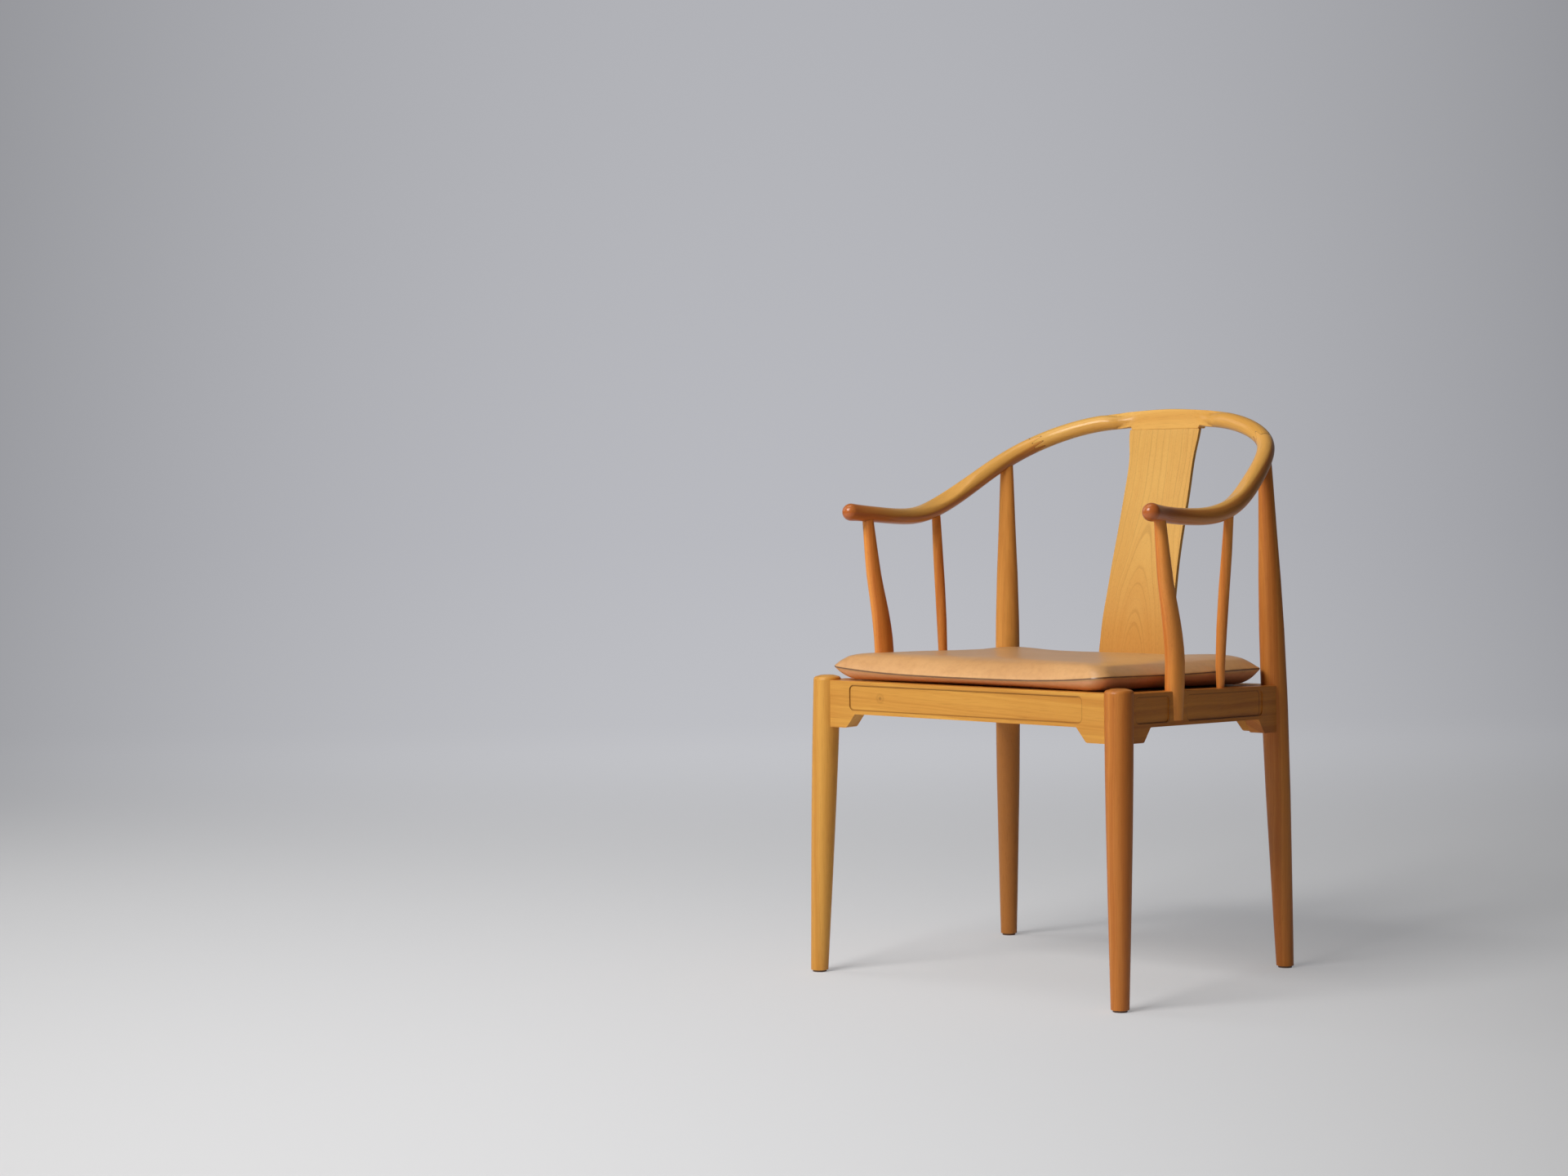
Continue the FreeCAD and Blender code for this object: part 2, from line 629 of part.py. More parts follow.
def half_rings():
    """Rings of the rail's right half: the rounded tip, then the stations and some places between."""
    stations = rail_stations()
    spots = [rail_curve.parameter(spot) for spot, wide, high in stations]
    places = list(spots)
    places += [(spots[k] + spots[k + 1]) / 2 for k in rail_bend_stations]
    for spot, dia in ((arm_top, S.tenon_dia), (spindle_top, S.tenon_dia), (rear_top, S.post_tenon_dia)):
        places += hole_ends(spot, dia)
    tip = stations[0][0]
    outward = rail_curve.tangent(spots[0])[0] * -1
    rings = []
    for reach, girth in zip(tip_reach_shares, tip_girth_shares):
        size = S.tip_dia * girth
        rings.append(section_ring(tip + outward * (S.tip_dia / 2 * reach), outward * -1, size, size))
    for place in sorted(places):
        before = max(k for k in range(len(spots) - 1) if spots[k] <= place)
        part = (place - spots[before]) / (spots[before + 1] - spots[before])
        wide = stations[before][1] + (stations[before + 1][1] - stations[before][1]) * part
        high = stations[before][2] + (stations[before + 1][2] - stations[before][2]) * part
        if place == spots[0]:
            wide = high = S.tip_dia
        rings.append(section_ring(rail_curve.value(place), rail_curve.tangent(place)[0], wide, high))
    return rings


def horseshoe_solid(shift=0.0):
    """The whole rail as one loft from tip to tip; shift lowers it, for scribing the posts."""
    right = half_rings()
    left = [ring.mirror(Vector(0, 0, 0), Vector(1, 0, 0)) for ring in reversed(right[:-1])]
    solid = Part.makeLoft(right + left, True, True)
    solid.translate(Vector(0, 0, -shift))
    return solid


def finger_cutter(far):
    """The arm's side of the finger joint on the right: a prism with a zigzag end."""
    stations = rail_stations()
    first = rail_curve.parameter(stations[7][0])
    second = rail_curve.parameter(stations[8][0])
    here = first + (second - first) * finger_station_share
    spot = rail_curve.value(here)
    tangent = rail_curve.tangent(here)[0]
    level = tangent.cross(Vector(0, 0, 1)).normalize()
    upright = level.cross(tangent).normalize()
    half = S.finger_long / 2
    pitch = S.finger_pitch
    tip = S.finger_tip / 2
    corners = []
    rows = (-2, -1, 0, 1, 2)
    corners.append((-half, -far))
    for row in rows:
        middle = row * pitch
        corners.append((-half, middle - pitch / 2 - tip))
        corners.append((-half, middle - pitch / 2 + tip))
        corners.append((half, middle - tip))
        corners.append((half, middle + tip))
    corners.append((-half, rows[-1] * pitch + pitch / 2 - tip))
    corners.append((-half, far))
    corners.append((-far, far))
    corners.append((-far, -far))
    points = []
    for along, up in corners:
        point = spot + tangent * along + upright * up
        if not points or point.distanceToPoint(points[-1]) > S.joint_gap / 2:
            points.append(point)
    if points[0].distanceToPoint(points[-1]) < S.joint_gap:
        points.pop()
    face = Part.Face(Part.makePolygon(points + [points[0]]))
    face.translate(level * -far)
    return face.extrude(level * (2 * far))


def flat_front(deep):
    """What is cleared away in front of the crest's flat face, with swept-out corners."""
    lean = math.radians(S.splat_lean)
    half = S.splat_top_wide / 2
    flare = S.lug_flare
    high = S.crest_high + S.bar_dia - seam_high
    top = half + flare + flare
    bend = Part.Arc(Vector(half, 0, 0), Vector(half + flare * (1 - math.cos(math.pi / 4)),
                                               flare * math.sin(math.pi / 4), 0),
                    Vector(half + flare, flare, 0)).toShape()
    other = bend.mirror(Vector(0, 0, 0), Vector(1, 0, 0))
    corners = [Vector(half + flare, flare, 0), Vector(top, high, 0), Vector(-top, high, 0),
               Vector(-half - flare, flare, 0)]
    low = -S.overrun
    below = [Vector(-half, 0, 0), Vector(-half, low, 0), Vector(half, low, 0), Vector(half, 0, 0)]
    edges = Part.sortEdges([bend, other] + Part.makePolygon(corners).Edges
                           + Part.makePolygon(below).Edges)[0]
    face = Part.Face(Part.Wire(edges))
    prism = face.extrude(Vector(0, 0, deep))
    turn = Rotation(Vector(1, 0, 0), math.degrees(math.pi / 2) - S.splat_lean)
    prism.Placement = Placement(Vector(0, splat_top_aft, seam_high), turn)
    return prism


def crest_lug():
    """The block below the crest that meets the splat, its corners swept out into the bar."""
    half = S.splat_top_wide / 2
    flare = S.lug_flare
    high = S.crest_high - seam_high
    bend = Part.Arc(Vector(half, 0, 0), Vector(half + flare * (1 - math.cos(math.pi / 4)),
                                               flare * math.sin(math.pi / 4), 0),
                    Vector(half + flare, flare, 0)).toShape()
    other = bend.mirror(Vector(0, 0, 0), Vector(1, 0, 0))
    corners = [Vector(half + flare, flare, 0), Vector(half, high, 0), Vector(-half, high, 0),
               Vector(-half - flare, flare, 0)]
    base = Part.makePolygon([Vector(-half, 0, 0), Vector(half, 0, 0)])
    edges = Part.sortEdges([bend, other] + Part.makePolygon(corners).Edges + base.Edges)[0]
    face = Part.Face(Part.Wire(edges))
    prism = face.extrude(Vector(0, 0, -S.lug_thick))
    turn = Rotation(Vector(1, 0, 0), math.degrees(math.pi / 2) - S.splat_lean)
    prism.Placement = Placement(Vector(0, splat_top_aft, seam_high), turn)
    level = Part.makeBox(4 * half, 4 * half, 2 * half,
                         Vector(-2 * half, splat_top_aft - 2 * half, seam_high))
    return prism.common(level)


whole_rail = shaped("horseshoe_bar", horseshoe_solid())
scribe_bar = shaped("horseshoe_scribe", horseshoe_solid(S.joint_gap))
far_side = S.rail_half_wide + S.tip_fore
right_side = shaped("finger_prism", finger_cutter(far_side))
left_side = mirrored("finger_prism_left", right_side)

# Back splat

seat_rear_high = S.seat_front_high - S.seat_fall
splat_low = seat_rear_high - S.splat_housing


def splat_solid():
    """The splat: its side profile across the chair, trimmed by its outline seen from the front."""
    run = splat_top_aft - S.splat_foot_aft
    rise = seam_high - splat_low
    lean = math.radians(S.splat_lean)
    upright = Vector(0, 0, 1)
    leaning = Vector(0, math.sin(lean), math.cos(lean))
    front, rear = [], []
    for k, share in enumerate(splat_height_shares):
        spot = Vector(0, S.splat_foot_aft + run * splat_aft_shares[k], splat_low + rise * share)
        front.append(spot)
    guide = Part.BSplineCurve()
    guide.interpolate(front[1:], InitialTangent=upright, FinalTangent=leaning)
    for spot in front[1:]:
        along = guide.tangent(guide.parameter(spot))[0]
        rear.append(spot + Vector(0, along.z, -along.y) * S.splat_thick)
    rear[-1] = Vector(0, rear[-1].y + (seam_high - rear[-1].z) * math.tan(lean), seam_high)
    back = Part.BSplineCurve()
    back.interpolate(rear, InitialTangent=upright, FinalTangent=leaning)
    heel = front[0] + Vector(0, S.splat_thick, 0)
    side = Part.Wire([Part.makeLine(front[0], front[1]), guide.toShape(),
                      Part.makeLine(front[-1], rear[-1]), back.toShape(),
                      Part.makeLine(rear[0], heel), Part.makeLine(heel, front[0])])
    wide = S.splat_top_wide
    board = Part.Face(side).extrude(Vector(2 * wide, 0, 0))
    board.translate(Vector(-wide, 0, 0))
    edge = [Vector(wide / 2 * girth, 0, splat_low + rise * share)
            for girth, share in zip(splat_wide_shares, splat_height_shares)]
    right = Part.BSplineCurve()
    right.interpolate(edge[1:], InitialTangent=upright, FinalTangent=upright)
    other = right.toShape().mirror(Vector(0, 0, 0), Vector(1, 0, 0))
    flip = [Vector(-spot.x, 0, spot.z) for spot in edge]
    outline = Part.Wire(Part.sortEdges([
        Part.makeLine(flip[0], edge[0]), Part.makeLine(edge[0], edge[1]), right.toShape(),
        Part.makeLine(edge[-1], flip[-1]), other, Part.makeLine(flip[1], flip[0])])[0])
    front_view = Part.Face(outline).extrude(Vector(0, 4 * wide, 0))
    return board.common(front_view)


splat_body = shaped("splat_board", splat_solid())


def splat_tongue(name, grow=0.0):
    """The tongue on top of the splat, leaning as the splat does there."""
    wide = S.splat_top_wide - 2 * S.splat_tongue_inset + 2 * grow
    thick = S.splat_tongue_thick + 2 * grow
    sink = S.splat_tongue_thick
    box = doc.addObject("Part::Box", name)
    box.Length = wide
    box.Width = thick
    box.Height = S.splat_tongue_high + sink + grow
    lean = Rotation(Vector(1, 0, 0), -S.splat_lean)
    middle = Vector(0, splat_top_aft + S.splat_thick / 2, seam_high)
    place = Placement(middle, lean)
    box.Placement = place.multiply(Placement(Vector(-wide / 2, -thick / 2, -sink), Rotation(0, 0, 0)))
    return box


back_splat = keep("back_splat", join("back_splat_piece", splat_body, splat_tongue("splat_tongue")))
tongue_room = splat_tongue("splat_tongue_room", S.joint_gap)

# Rear posts, arm posts and spindles meet the horseshoe rail

def tenon(name, start, end, dia, grow=0.0):
    """An eight-sided tenon from one point towards another, past it by the tenon's length."""
    along = (end - start).normalize()
    peg = doc.addObject("Part::Prism", name)
    peg.Polygon = PEG_SIDES
    peg.Circumradius = dia / 2 + grow
    peg.Height = (end - start).Length + S.tenon_long + grow
    peg.Placement = Placement(start, Rotation(Vector(0, 0, 1), along))
    return peg


post_tenon_root = rear_top.z - S.rear_post_dia
post_shoulder = rear_top.z - S.bar_dia / 2
post_tenon = tenon("rear_post_tenon", axis_point("rear", post_tenon_root),
                         axis_point("rear", post_shoulder), S.post_tenon_dia)
post_tenon_room = tenon("rear_post_tenon_room", axis_point("rear", post_tenon_root),
                              axis_point("rear", post_shoulder), S.post_tenon_dia, S.joint_gap)
post_scribed = cut("rear_post_scribed", rear_post_blank, scribe_bar)


def side_face(along):
    """How far out the side rail's outer face is at a place along the chair."""
    share = (along - seat_corner["front"].y) / seat_run
    return seat_corner["front"].x + (seat_corner["rear"].x - seat_corner["front"].x) * share + S.rail_face_out


def arm_post_solid(grow=0.0):
    """The gooseneck: a loft through level ovals that thickens and sweeps back towards the seat."""
    rings = []
    seat_spot = side_face(-S.arm_post_seat_fore) + S.arm_post_seat_proud - S.arm_post_seat_thick / 2
    for k, share in enumerate(arm_post_height_shares):
        height = S.lap_low + (arm_top.z - S.lap_low) * share
        sweep = arm_post_fore_shares[k]
        along = -S.arm_post_seat_fore + (arm_top.y + S.arm_post_seat_fore) * sweep
        across = seat_spot + (arm_top.x - seat_spot) * sweep
        thick = S.arm_post_top_dia + (S.arm_post_seat_thick - S.arm_post_top_dia) * arm_post_girth_shares[k]
        deep = S.arm_post_top_dia + (S.arm_post_seat_deep - S.arm_post_top_dia) * arm_post_depth_shares[k]
        if k == 0:
            along = -S.arm_post_foot_fore
            across = side_face(along) + S.arm_post_foot_proud - thick / 2
        spot = Vector(across, along, height)
        rings.append(oval_ring(spot, Vector(thick / 2 + grow, 0, 0), Vector(0, deep / 2 + grow, 0)))
    return Part.makeLoft(rings, True, True)


def lap_waste(name, grow=0.0):
    """What the lap takes off the arm post: its inner half below the rail's top."""
    place, length = rail_frames["side_rail"]
    box = doc.addObject("Part::Box", name)
    box.Length = 4 * S.arm_post_seat_deep
    box.Width = 2 * S.rail_thick
    box.Height = 3 * S.rail_deep
    inner = -S.rail_face_out + S.lap_depth + grow
    middle = -S.arm_post_seat_fore - seat_corner["front"].y
    corner = Vector(middle - box.Length.Value / 2, inner, -box.Height.Value + S.joint_gap - grow)
    box.Placement = place.multiply(Placement(corner, Rotation(0, 0, 0)))
    return box


arm_blank = shaped("arm_post_blank", arm_post_solid())
arm_room_blank = shaped("arm_post_room_blank", arm_post_solid(S.joint_gap))
arm_room = cut("arm_post_room", arm_room_blank, lap_waste("lap_waste_room", S.joint_gap))
arm_lapped = cut("arm_post_lapped", arm_blank, lap_waste("lap_waste"), scribe_bar)
arm_shoulder = arm_top - Vector(0, 0, S.bar_dia / 2)
arm_root = arm_shoulder - Vector(0, 0, S.bar_dia)
arm_tenon = tenon("arm_post_tenon", arm_root, arm_shoulder, S.tenon_dia)
arm_tenon_room = tenon("arm_post_tenon_room", arm_root, arm_shoulder, S.tenon_dia, S.joint_gap)

spindle_foot = number("sizes.seat_front_high") - S.seat_fall * (
    S.spindle_foot_aft - seat_corner["front"].y) / seat_run
spindle_start = spindle_foot - S.tenon_dia / 2
spindle_heights = [str(spindle_start + (spindle_top.z - spindle_start) * share)
                   for share in spindle_height_shares]
spindle_across = [share_of("sizes.spindle_foot_out", "runs.spindle_top_out", share)
                  for share in spindle_sweep_shares]
spindle_along = [share_of("sizes.spindle_foot_aft", "runs.spindle_top_aft", share)
                 for share in spindle_sweep_shares]
spindle_radii = [f"sizes.spindle_dia / 2 * {share}" for share in spindle_girth_shares]
spindle_blank = turned_member("spindle_turning", spindle_heights, spindle_across, spindle_along,
                              spindle_radii)
spindle_base = Vector(S.spindle_foot_out, S.spindle_foot_aft, spindle_foot)
spindle_head = spindle_top - Vector(0, 0, S.bar_dia / 2)
spindle_rise = Vector(0, 0, S.bar_dia)


def spindle_pegs(tag, grow=0.0):
    low = tenon("spindle_low_tenon" + tag, spindle_base + spindle_rise, spindle_base,
                      S.tenon_dia, grow)
    high = tenon("spindle_high_tenon" + tag, spindle_head - spindle_rise, spindle_head,
                       S.tenon_dia, grow)
    return low, high


low_peg, high_peg = spindle_pegs("")
low_peg_room, high_peg_room = spindle_pegs("_room", S.joint_gap)
spindle_trimmed = cut("spindle_trimmed", spindle_blank, side_board, scribe_bar)
spindle = join("spindle_piece", spindle_trimmed, low_peg, high_peg)
keep("side_spindle_right", spindle)
keep("side_spindle_left", mirrored("spindle_piece_left", spindle))

arm_post = join("arm_post_piece", arm_lapped, arm_tenon)
keep("arm_post_right", arm_post)
keep("arm_post_left", mirrored("arm_post_piece_left", arm_post))

# The horseshoe rail's three pieces

rail_right_part = doc.addObject("Part::Common", "rail_right_part")
rail_right_part.Base = whole_rail
rail_right_part.Tool = right_side
doc.recompute()
arm_rail = cut("arm_rail_piece", rail_right_part, post_tenon_room, arm_tenon_room, high_peg_room)
keep("arm_rail_right", arm_rail)
keep("arm_rail_left", mirrored("arm_rail_piece_left", arm_rail))
crest_bar = cut("crest_bar", whole_rail, right_side, left_side)
crest_blank = join("crest_blank", crest_bar, shaped("crest_lug", crest_lug()))
crest_front = shaped("crest_front_waste", flat_front(4 * S.bar_dia))
crest = cut("crest_piece", crest_blank, crest_front, tongue_room)
keep("crest_rail", crest)

# Glides

def glide(name, kind, grow=0.0):
    """A glide disc with its square nail; grown, it is the nail's hole."""
    across, along = leg_axis(kind, "sizes.glide_high")
    spot = Vector(number(across), number(along), 0)
    side = S.glide_nail + 2 * grow
    nail = doc.addObject("Part::Box", name + "_nail")
    nail.Length = nail.Width = side
    nail.Height = S.glide_high + S.glide_nail_long + grow
    nail.Placement = Placement(spot - Vector(side / 2, side / 2, 0), Rotation(0, 0, 0))
    if grow:
        return nail
    disc = doc.addObject("Part::Cylinder", name + "_disc")
    disc.setExpression("Radius", "sizes.glide_dia / 2")
    disc.setExpression("Height", "sizes.glide_high")
    disc.Placement = Placement(spot, Rotation(0, 0, 0))
    return join(name, disc, nail)


for kind in ("front", "rear"):
    piece = glide(f"glide_{kind}", kind)
    keep(f"foot_glide_{kind}_right", piece)
    keep(f"foot_glide_{kind}_left", mirrored(f"glide_{kind}_left", piece))

front_leg_piece = cut("front_leg_piece", front_leg, mortises[("front_rail", "end")],
                      mortises[("side_rail", "start")], glide("glide_front_room", "front", S.joint_gap))
keep("front_leg_right", front_leg_piece)
keep("front_leg_left", mirrored("front_leg_piece_left", front_leg_piece))
post_cut = cut("rear_post_cut", post_scribed, mortises[("back_rail", "start")],
               mortises[("side_rail", "end")], glide("glide_rear_room", "rear", S.joint_gap))
rear_post = join("rear_post_piece", post_cut, post_tenon)
keep("rear_post_right", rear_post)
keep("rear_post_left", mirrored("rear_post_piece_left", rear_post))

# Seat rails, scribed to the legs, with their tenons

front_rail_coped = cut("front_rail_coped", front_board, front_leg_room, front_leg_room_left)
keep("front_rail", join("front_rail_piece", front_rail_coped, tenons[("front_rail", "start")],
                        tenons[("front_rail", "end")]))


def splat_room():
    """The housing for the splat's foot in the back rail."""
    half = S.splat_top_wide / 2 * splat_wide_shares[0] + S.joint_gap
    room = Part.makeBox(2 * half, S.splat_thick + 2 * S.joint_gap, S.splat_housing + S.overrun,
                        Vector(-half, S.splat_foot_aft - S.joint_gap, splat_low - S.joint_gap))
    return shaped("splat_room", room)


back_rail_coped = cut("back_rail_coped", back_board, rear_post_room, rear_post_room_left, splat_room())
keep("back_rail", join("back_rail_piece", back_rail_coped, tenons[("back_rail", "start")],
                       tenons[("back_rail", "end")]))

side_rail_coped = cut("side_rail_coped", side_board, front_leg_room, rear_post_room, arm_room,
                      low_peg_room)
side_rail = join("side_rail_piece", side_rail_coped, tenons[("side_rail", "start")],
                 tenons[("side_rail", "end")])
keep("side_rail_right", side_rail)
keep("side_rail_left", mirrored("side_rail_piece_left", side_rail))

# Seat plane: what lies on or under the deck is drawn in it and tilted with the seat

inner_out = S.rail_thick - S.rail_face_out
seat_plane = Placement(Vector(0, seat_corner["front"].y, S.seat_front_high),
                       Rotation(Vector(1, 0, 0), -seat_pitch))
plane_run = math.hypot(seat_run, S.seat_fall)


def seat_inner(gap):
    """Corners of the rails' inner outline in the seat plane, drawn in by a gap."""
    front = inner_out + gap
    rear = plane_run - inner_out - gap
    slope = (seat_corner["rear"].x - seat_corner["front"].x) / plane_run

    def half(along):
        return seat_corner["front"].x + slope * along - inner_out - gap

    return (half(front), front), (half(rear), rear)


def deck_board():
    """The deck, drawn in the seat plane."""
    body = new_body("deck_board")
    (front_half, front), (rear_half, rear) = seat_inner(S.deck_gap)
    worked_out("deck_front_half", front_half)
    worked_out("deck_front", front)
    worked_out("deck_rear_half", rear_half)
    worked_out("deck_rear", rear)
    sketch = new_sketch(body, "deck_outline", "XY", "-sizes.deck_drop - sizes.deck_thick")
    polygon(sketch, (("-runs.deck_front_half", "runs.deck_front"),
                     ("runs.deck_front_half", "runs.deck_front"),
                     ("runs.deck_rear_half", "runs.deck_rear"),
                     ("-runs.deck_rear_half", "runs.deck_rear")))
    pad = body.newObject("PartDesign::Pad", "deck_pad")
    pad.Profile = sketch
    pad.setExpression("Length", "sizes.deck_thick")
    body.Placement = seat_plane
    doc.recompute()
    return body


deck_blank = deck_board()


def corner_block(name, end):
    """A block across one right-hand corner of the frame, its long edge facing the seat's middle."""
    (front_half, front), (rear_half, rear) = seat_inner(S.joint_gap)
    leg_size = S.block_leg
    nose = S.block_nose
    slope = (rear_half - front_half) / (rear - front)
    top = -S.deck_drop - S.deck_thick
    lean = math.radians(seat_pitch)
    front = (front - top * math.sin(lean)) / math.cos(lean)
    rear = rear - plane_run + (plane_run * math.cos(lean) - top * math.sin(lean)) / math.cos(lean)
    if end == "front":
        corner = Vector(front_half, front, top)
        along_side = Vector(slope, 1, 0).normalize()
    else:
        corner = Vector(rear_half, rear, top)
        along_side = Vector(-slope, -1, 0).normalize()
    along_cross = Vector(-1, 0, 0)
    sink = -along_side.y
    points = [
        corner,
        corner + along_cross * leg_size,
        corner + along_cross * leg_size - Vector(0, sink * nose, 0),
        corner + along_side * leg_size + along_cross * nose,
        corner + along_side * leg_size,
    ]
    face = Part.Face(Part.makePolygon(points + [points[0]]))
    block = face.extrude(seat_plane.Rotation.inverted().multVec(Vector(0, 0, -S.block_thick)))
    block.Placement = seat_plane
    feature = shaped(name, block)
    return feature


def many_sided(radius, height):
    """An eight-sided outline at a height, with a bolt circle's radius."""
    corners = []
    for k in range(PEG_SIDES + 1):
        turn = 2 * math.pi * k / PEG_SIDES
        corners.append(Vector(radius * math.cos(turn), radius * math.sin(turn), height))
    return Part.makePolygon(corners)


def screw_solid(long):
    """A countersunk screw along -Z with its head's top at the origin; its round forms are eight-sided."""
    shank = S.screw_dia / 2
    rings = [many_sided(S.screw_head_dia / 2, 0), many_sided(shank, -S.screw_head_high),
             many_sided(shank, -long)]
    return Part.makeLoft(rings, True, True)


def screw_room_solid(long):
    """The hole a screw fills, open past its head."""
    gap = S.joint_gap
    head = S.screw_head_dia / 2 + gap
    shank = S.screw_dia / 2 + gap
    rings = [many_sided(head, S.overrun), many_sided(head, 0), many_sided(shank, -S.screw_head_high),
             many_sided(shank, -long - gap)]
    return Part.makeLoft(rings, True, True)


def block_screw_places(end):
    """Where the screws of one corner block go: two into the rails and one into the deck."""
    (front_half, front), (rear_half, rear) = seat_inner(S.joint_gap)
    half = front_half if end == "front" else rear_half
    near = front if end == "front" else rear
    turn = 1 if end == "front" else -1
    level = -S.deck_drop - S.deck_thick - S.block_thick / 2
    reach = S.block_leg
    side_spot = Vector(half - reach / 2 + S.screw_dia, near + turn * reach * side_screw_share, level)
    cross_spot = Vector(half - reach * side_screw_share, near + turn * (reach / 2 - S.screw_dia), level)
    deck_spot = Vector(half - reach * deck_screw_share, near + turn * reach * deck_screw_share,
                       level - S.block_thick / 2)
    into_side = Rotation(Vector(0, 0, -1), Vector(1, 0, 0))
    into_cross = Rotation(Vector(0, 0, -1), Vector(0, -turn, 0))
    into_deck = Rotation(Vector(0, 0, -1), Vector(0, 0, 1))
    return ((side_spot, into_side), (cross_spot, into_cross)), (deck_spot, into_deck)


def placed(shape, spot, turn):
    copy = shape.copy()
    copy.Placement = seat_plane.multiply(Placement(spot, turn))
    return copy


block_screw_shapes = []
deck_screw_shapes = []
block_rooms = []
deck_rooms = []
for end in ("front", "rear"):
    side_pair, deck_one = block_screw_places(end)
    for spot, turn in side_pair:
        block_screw_shapes.append(placed(screw_solid(S.screw_long), spot, turn))
        block_rooms.append(placed(screw_room_solid(S.screw_long), spot, turn))
    deck_screw_shapes.append(placed(screw_solid(S.deck_screw_long), *deck_one))
    deck_rooms.append(placed(screw_room_solid(S.deck_screw_long), *deck_one))


def both_sides(shapes):
    """The shapes and their mirror images as one group of separate solids."""
    copies = [shape.mirror(Vector(0, 0, 0), Vector(1, 0, 0)) for shape in shapes]
    return Part.makeCompound(shapes + copies)


keep("block_screws", shaped("block_screw_group", both_sides(block_screw_shapes)))
keep("deck_screws", shaped("deck_screw_group", both_sides(deck_screw_shapes)))
screw_room = shaped("screw_room", both_sides(block_rooms + deck_rooms))

for end, room in (("front", front_leg_room), ("rear", rear_post_room)):
    block = cut(f"corner_block_{end}", corner_block(f"corner_block_{end}_blank", end), room, screw_room)
    keep(f"corner_block_{end}_right", block)
    keep(f"corner_block_{end}_left", mirrored(f"corner_block_{end}_mirror", block))

for name in ("front_rail", "back_rail", "side_rail_right"):
    bored = cut(name + "_bored", nodes[name], screw_room)
    nodes[name].Label = name + "_solid"
    keep(name, bored)
nodes["side_rail_left"].Label = "side_rail_left_solid"
keep("side_rail_left", mirrored("side_rail_left_bored", nodes["side_rail_right"]))
keep("seat_deck", cut("seat_deck_bored", deck_blank, screw_room))

# Cushion

spindle_place = (S.spindle_foot_aft + S.cushion_front_fore) / (S.cushion_rear_aft + S.cushion_front_fore)
cushion_front_half = (S.spindle_foot_out - S.spindle_dia / 2 - S.cushion_spindle_gap
                      + S.cushion_taper * spindle_place)
cushion_rear_half = cushion_front_half - S.cushion_taper


def cushion_ring(inset, height):
    """A rounded four-sided outline in the seat plane, drawn in from the seam."""
    fore = -S.cushion_front_fore - seat_corner["front"].y + inset
    aft = S.cushion_rear_aft - seat_corner["front"].y - inset
    front_half = cushion_front_half - inset
    rear_half = cushion_rear_half - inset
    radius = S.cushion_corner + inset / 6
    corners = [Vector(-front_half, fore, height), Vector(front_half, fore, height),
               Vector(rear_half, aft, height), Vector(-rear_half, aft, height)]
    edges = []
    cuts = []
    for k in range(4):
        here = corners[k]
        back = (corners[k - 1] - here).normalize()
        ahead = (corners[(k + 1) % 4] - here).normalize()
        angle = back.getAngle(ahead)
        trim = radius / math.tan(angle / 2)
        bisector = (back + ahead).normalize()
        centre = here + bisector * (radius / math.sin(angle / 2))
        start = here + back * trim
        finish = here + ahead * trim
        middle = centre - bisector * radius
        cuts.append((start, middle, finish))
    for k in range(4):
        start, middle, finish = cuts[k]
        after = cuts[(k + 1) % 4][0]
        edges.append(Part.Arc(start, middle, finish).toShape())
        if k == 2:
            bow = S.cushion_rear_bow * rear_half / cushion_rear_half
            edges.append(Part.Arc(finish, (finish + after) / 2 + Vector(0, bow, 0), after).toShape())
        else:
            edges.append(Part.LineSegment(finish, after).toShape())
    return Part.Wire(edges)


cushion_rings = [cushion_ring(S.cushion_seam_high * inset, S.rest_gap + S.cushion_thick * level)
                 for level, inset in zip(cushion_level_shares, cushion_inset_shares)]
cushion = shaped("cushion_body", Part.makeLoft(cushion_rings, True, True))
cushion.Placement = seat_plane
keep("seat_cushion", cushion)

# Checks and files

doc.recompute()
for item in doc.Objects:
    if "Invalid" in item.State or "Error" in item.State:
        raise RuntimeError(f"{item.Name} is {item.State}")
os.makedirs("parts", exist_ok=True)
for name, piece in sorted(nodes.items()):
    shape = piece.Shape
    if shape.isNull() or not shape.isValid():
        raise RuntimeError(name + " has no valid shape")
    if shape.ShapeType == "Compound" and len(shape.Solids) == 1:
        shape = shape.Solids[0]
    print(name, len(shape.Solids), round(shape.Volume), [round(number) for number in (
        shape.BoundBox.XMin, shape.BoundBox.XMax, shape.BoundBox.YMin, shape.BoundBox.YMax,
        shape.BoundBox.ZMin, shape.BoundBox.ZMax)])
    shape.exportStep(f"parts/{name}.step")
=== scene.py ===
import math

import bmesh
import bpy
import numpy as np
from mathutils import Matrix, Vector


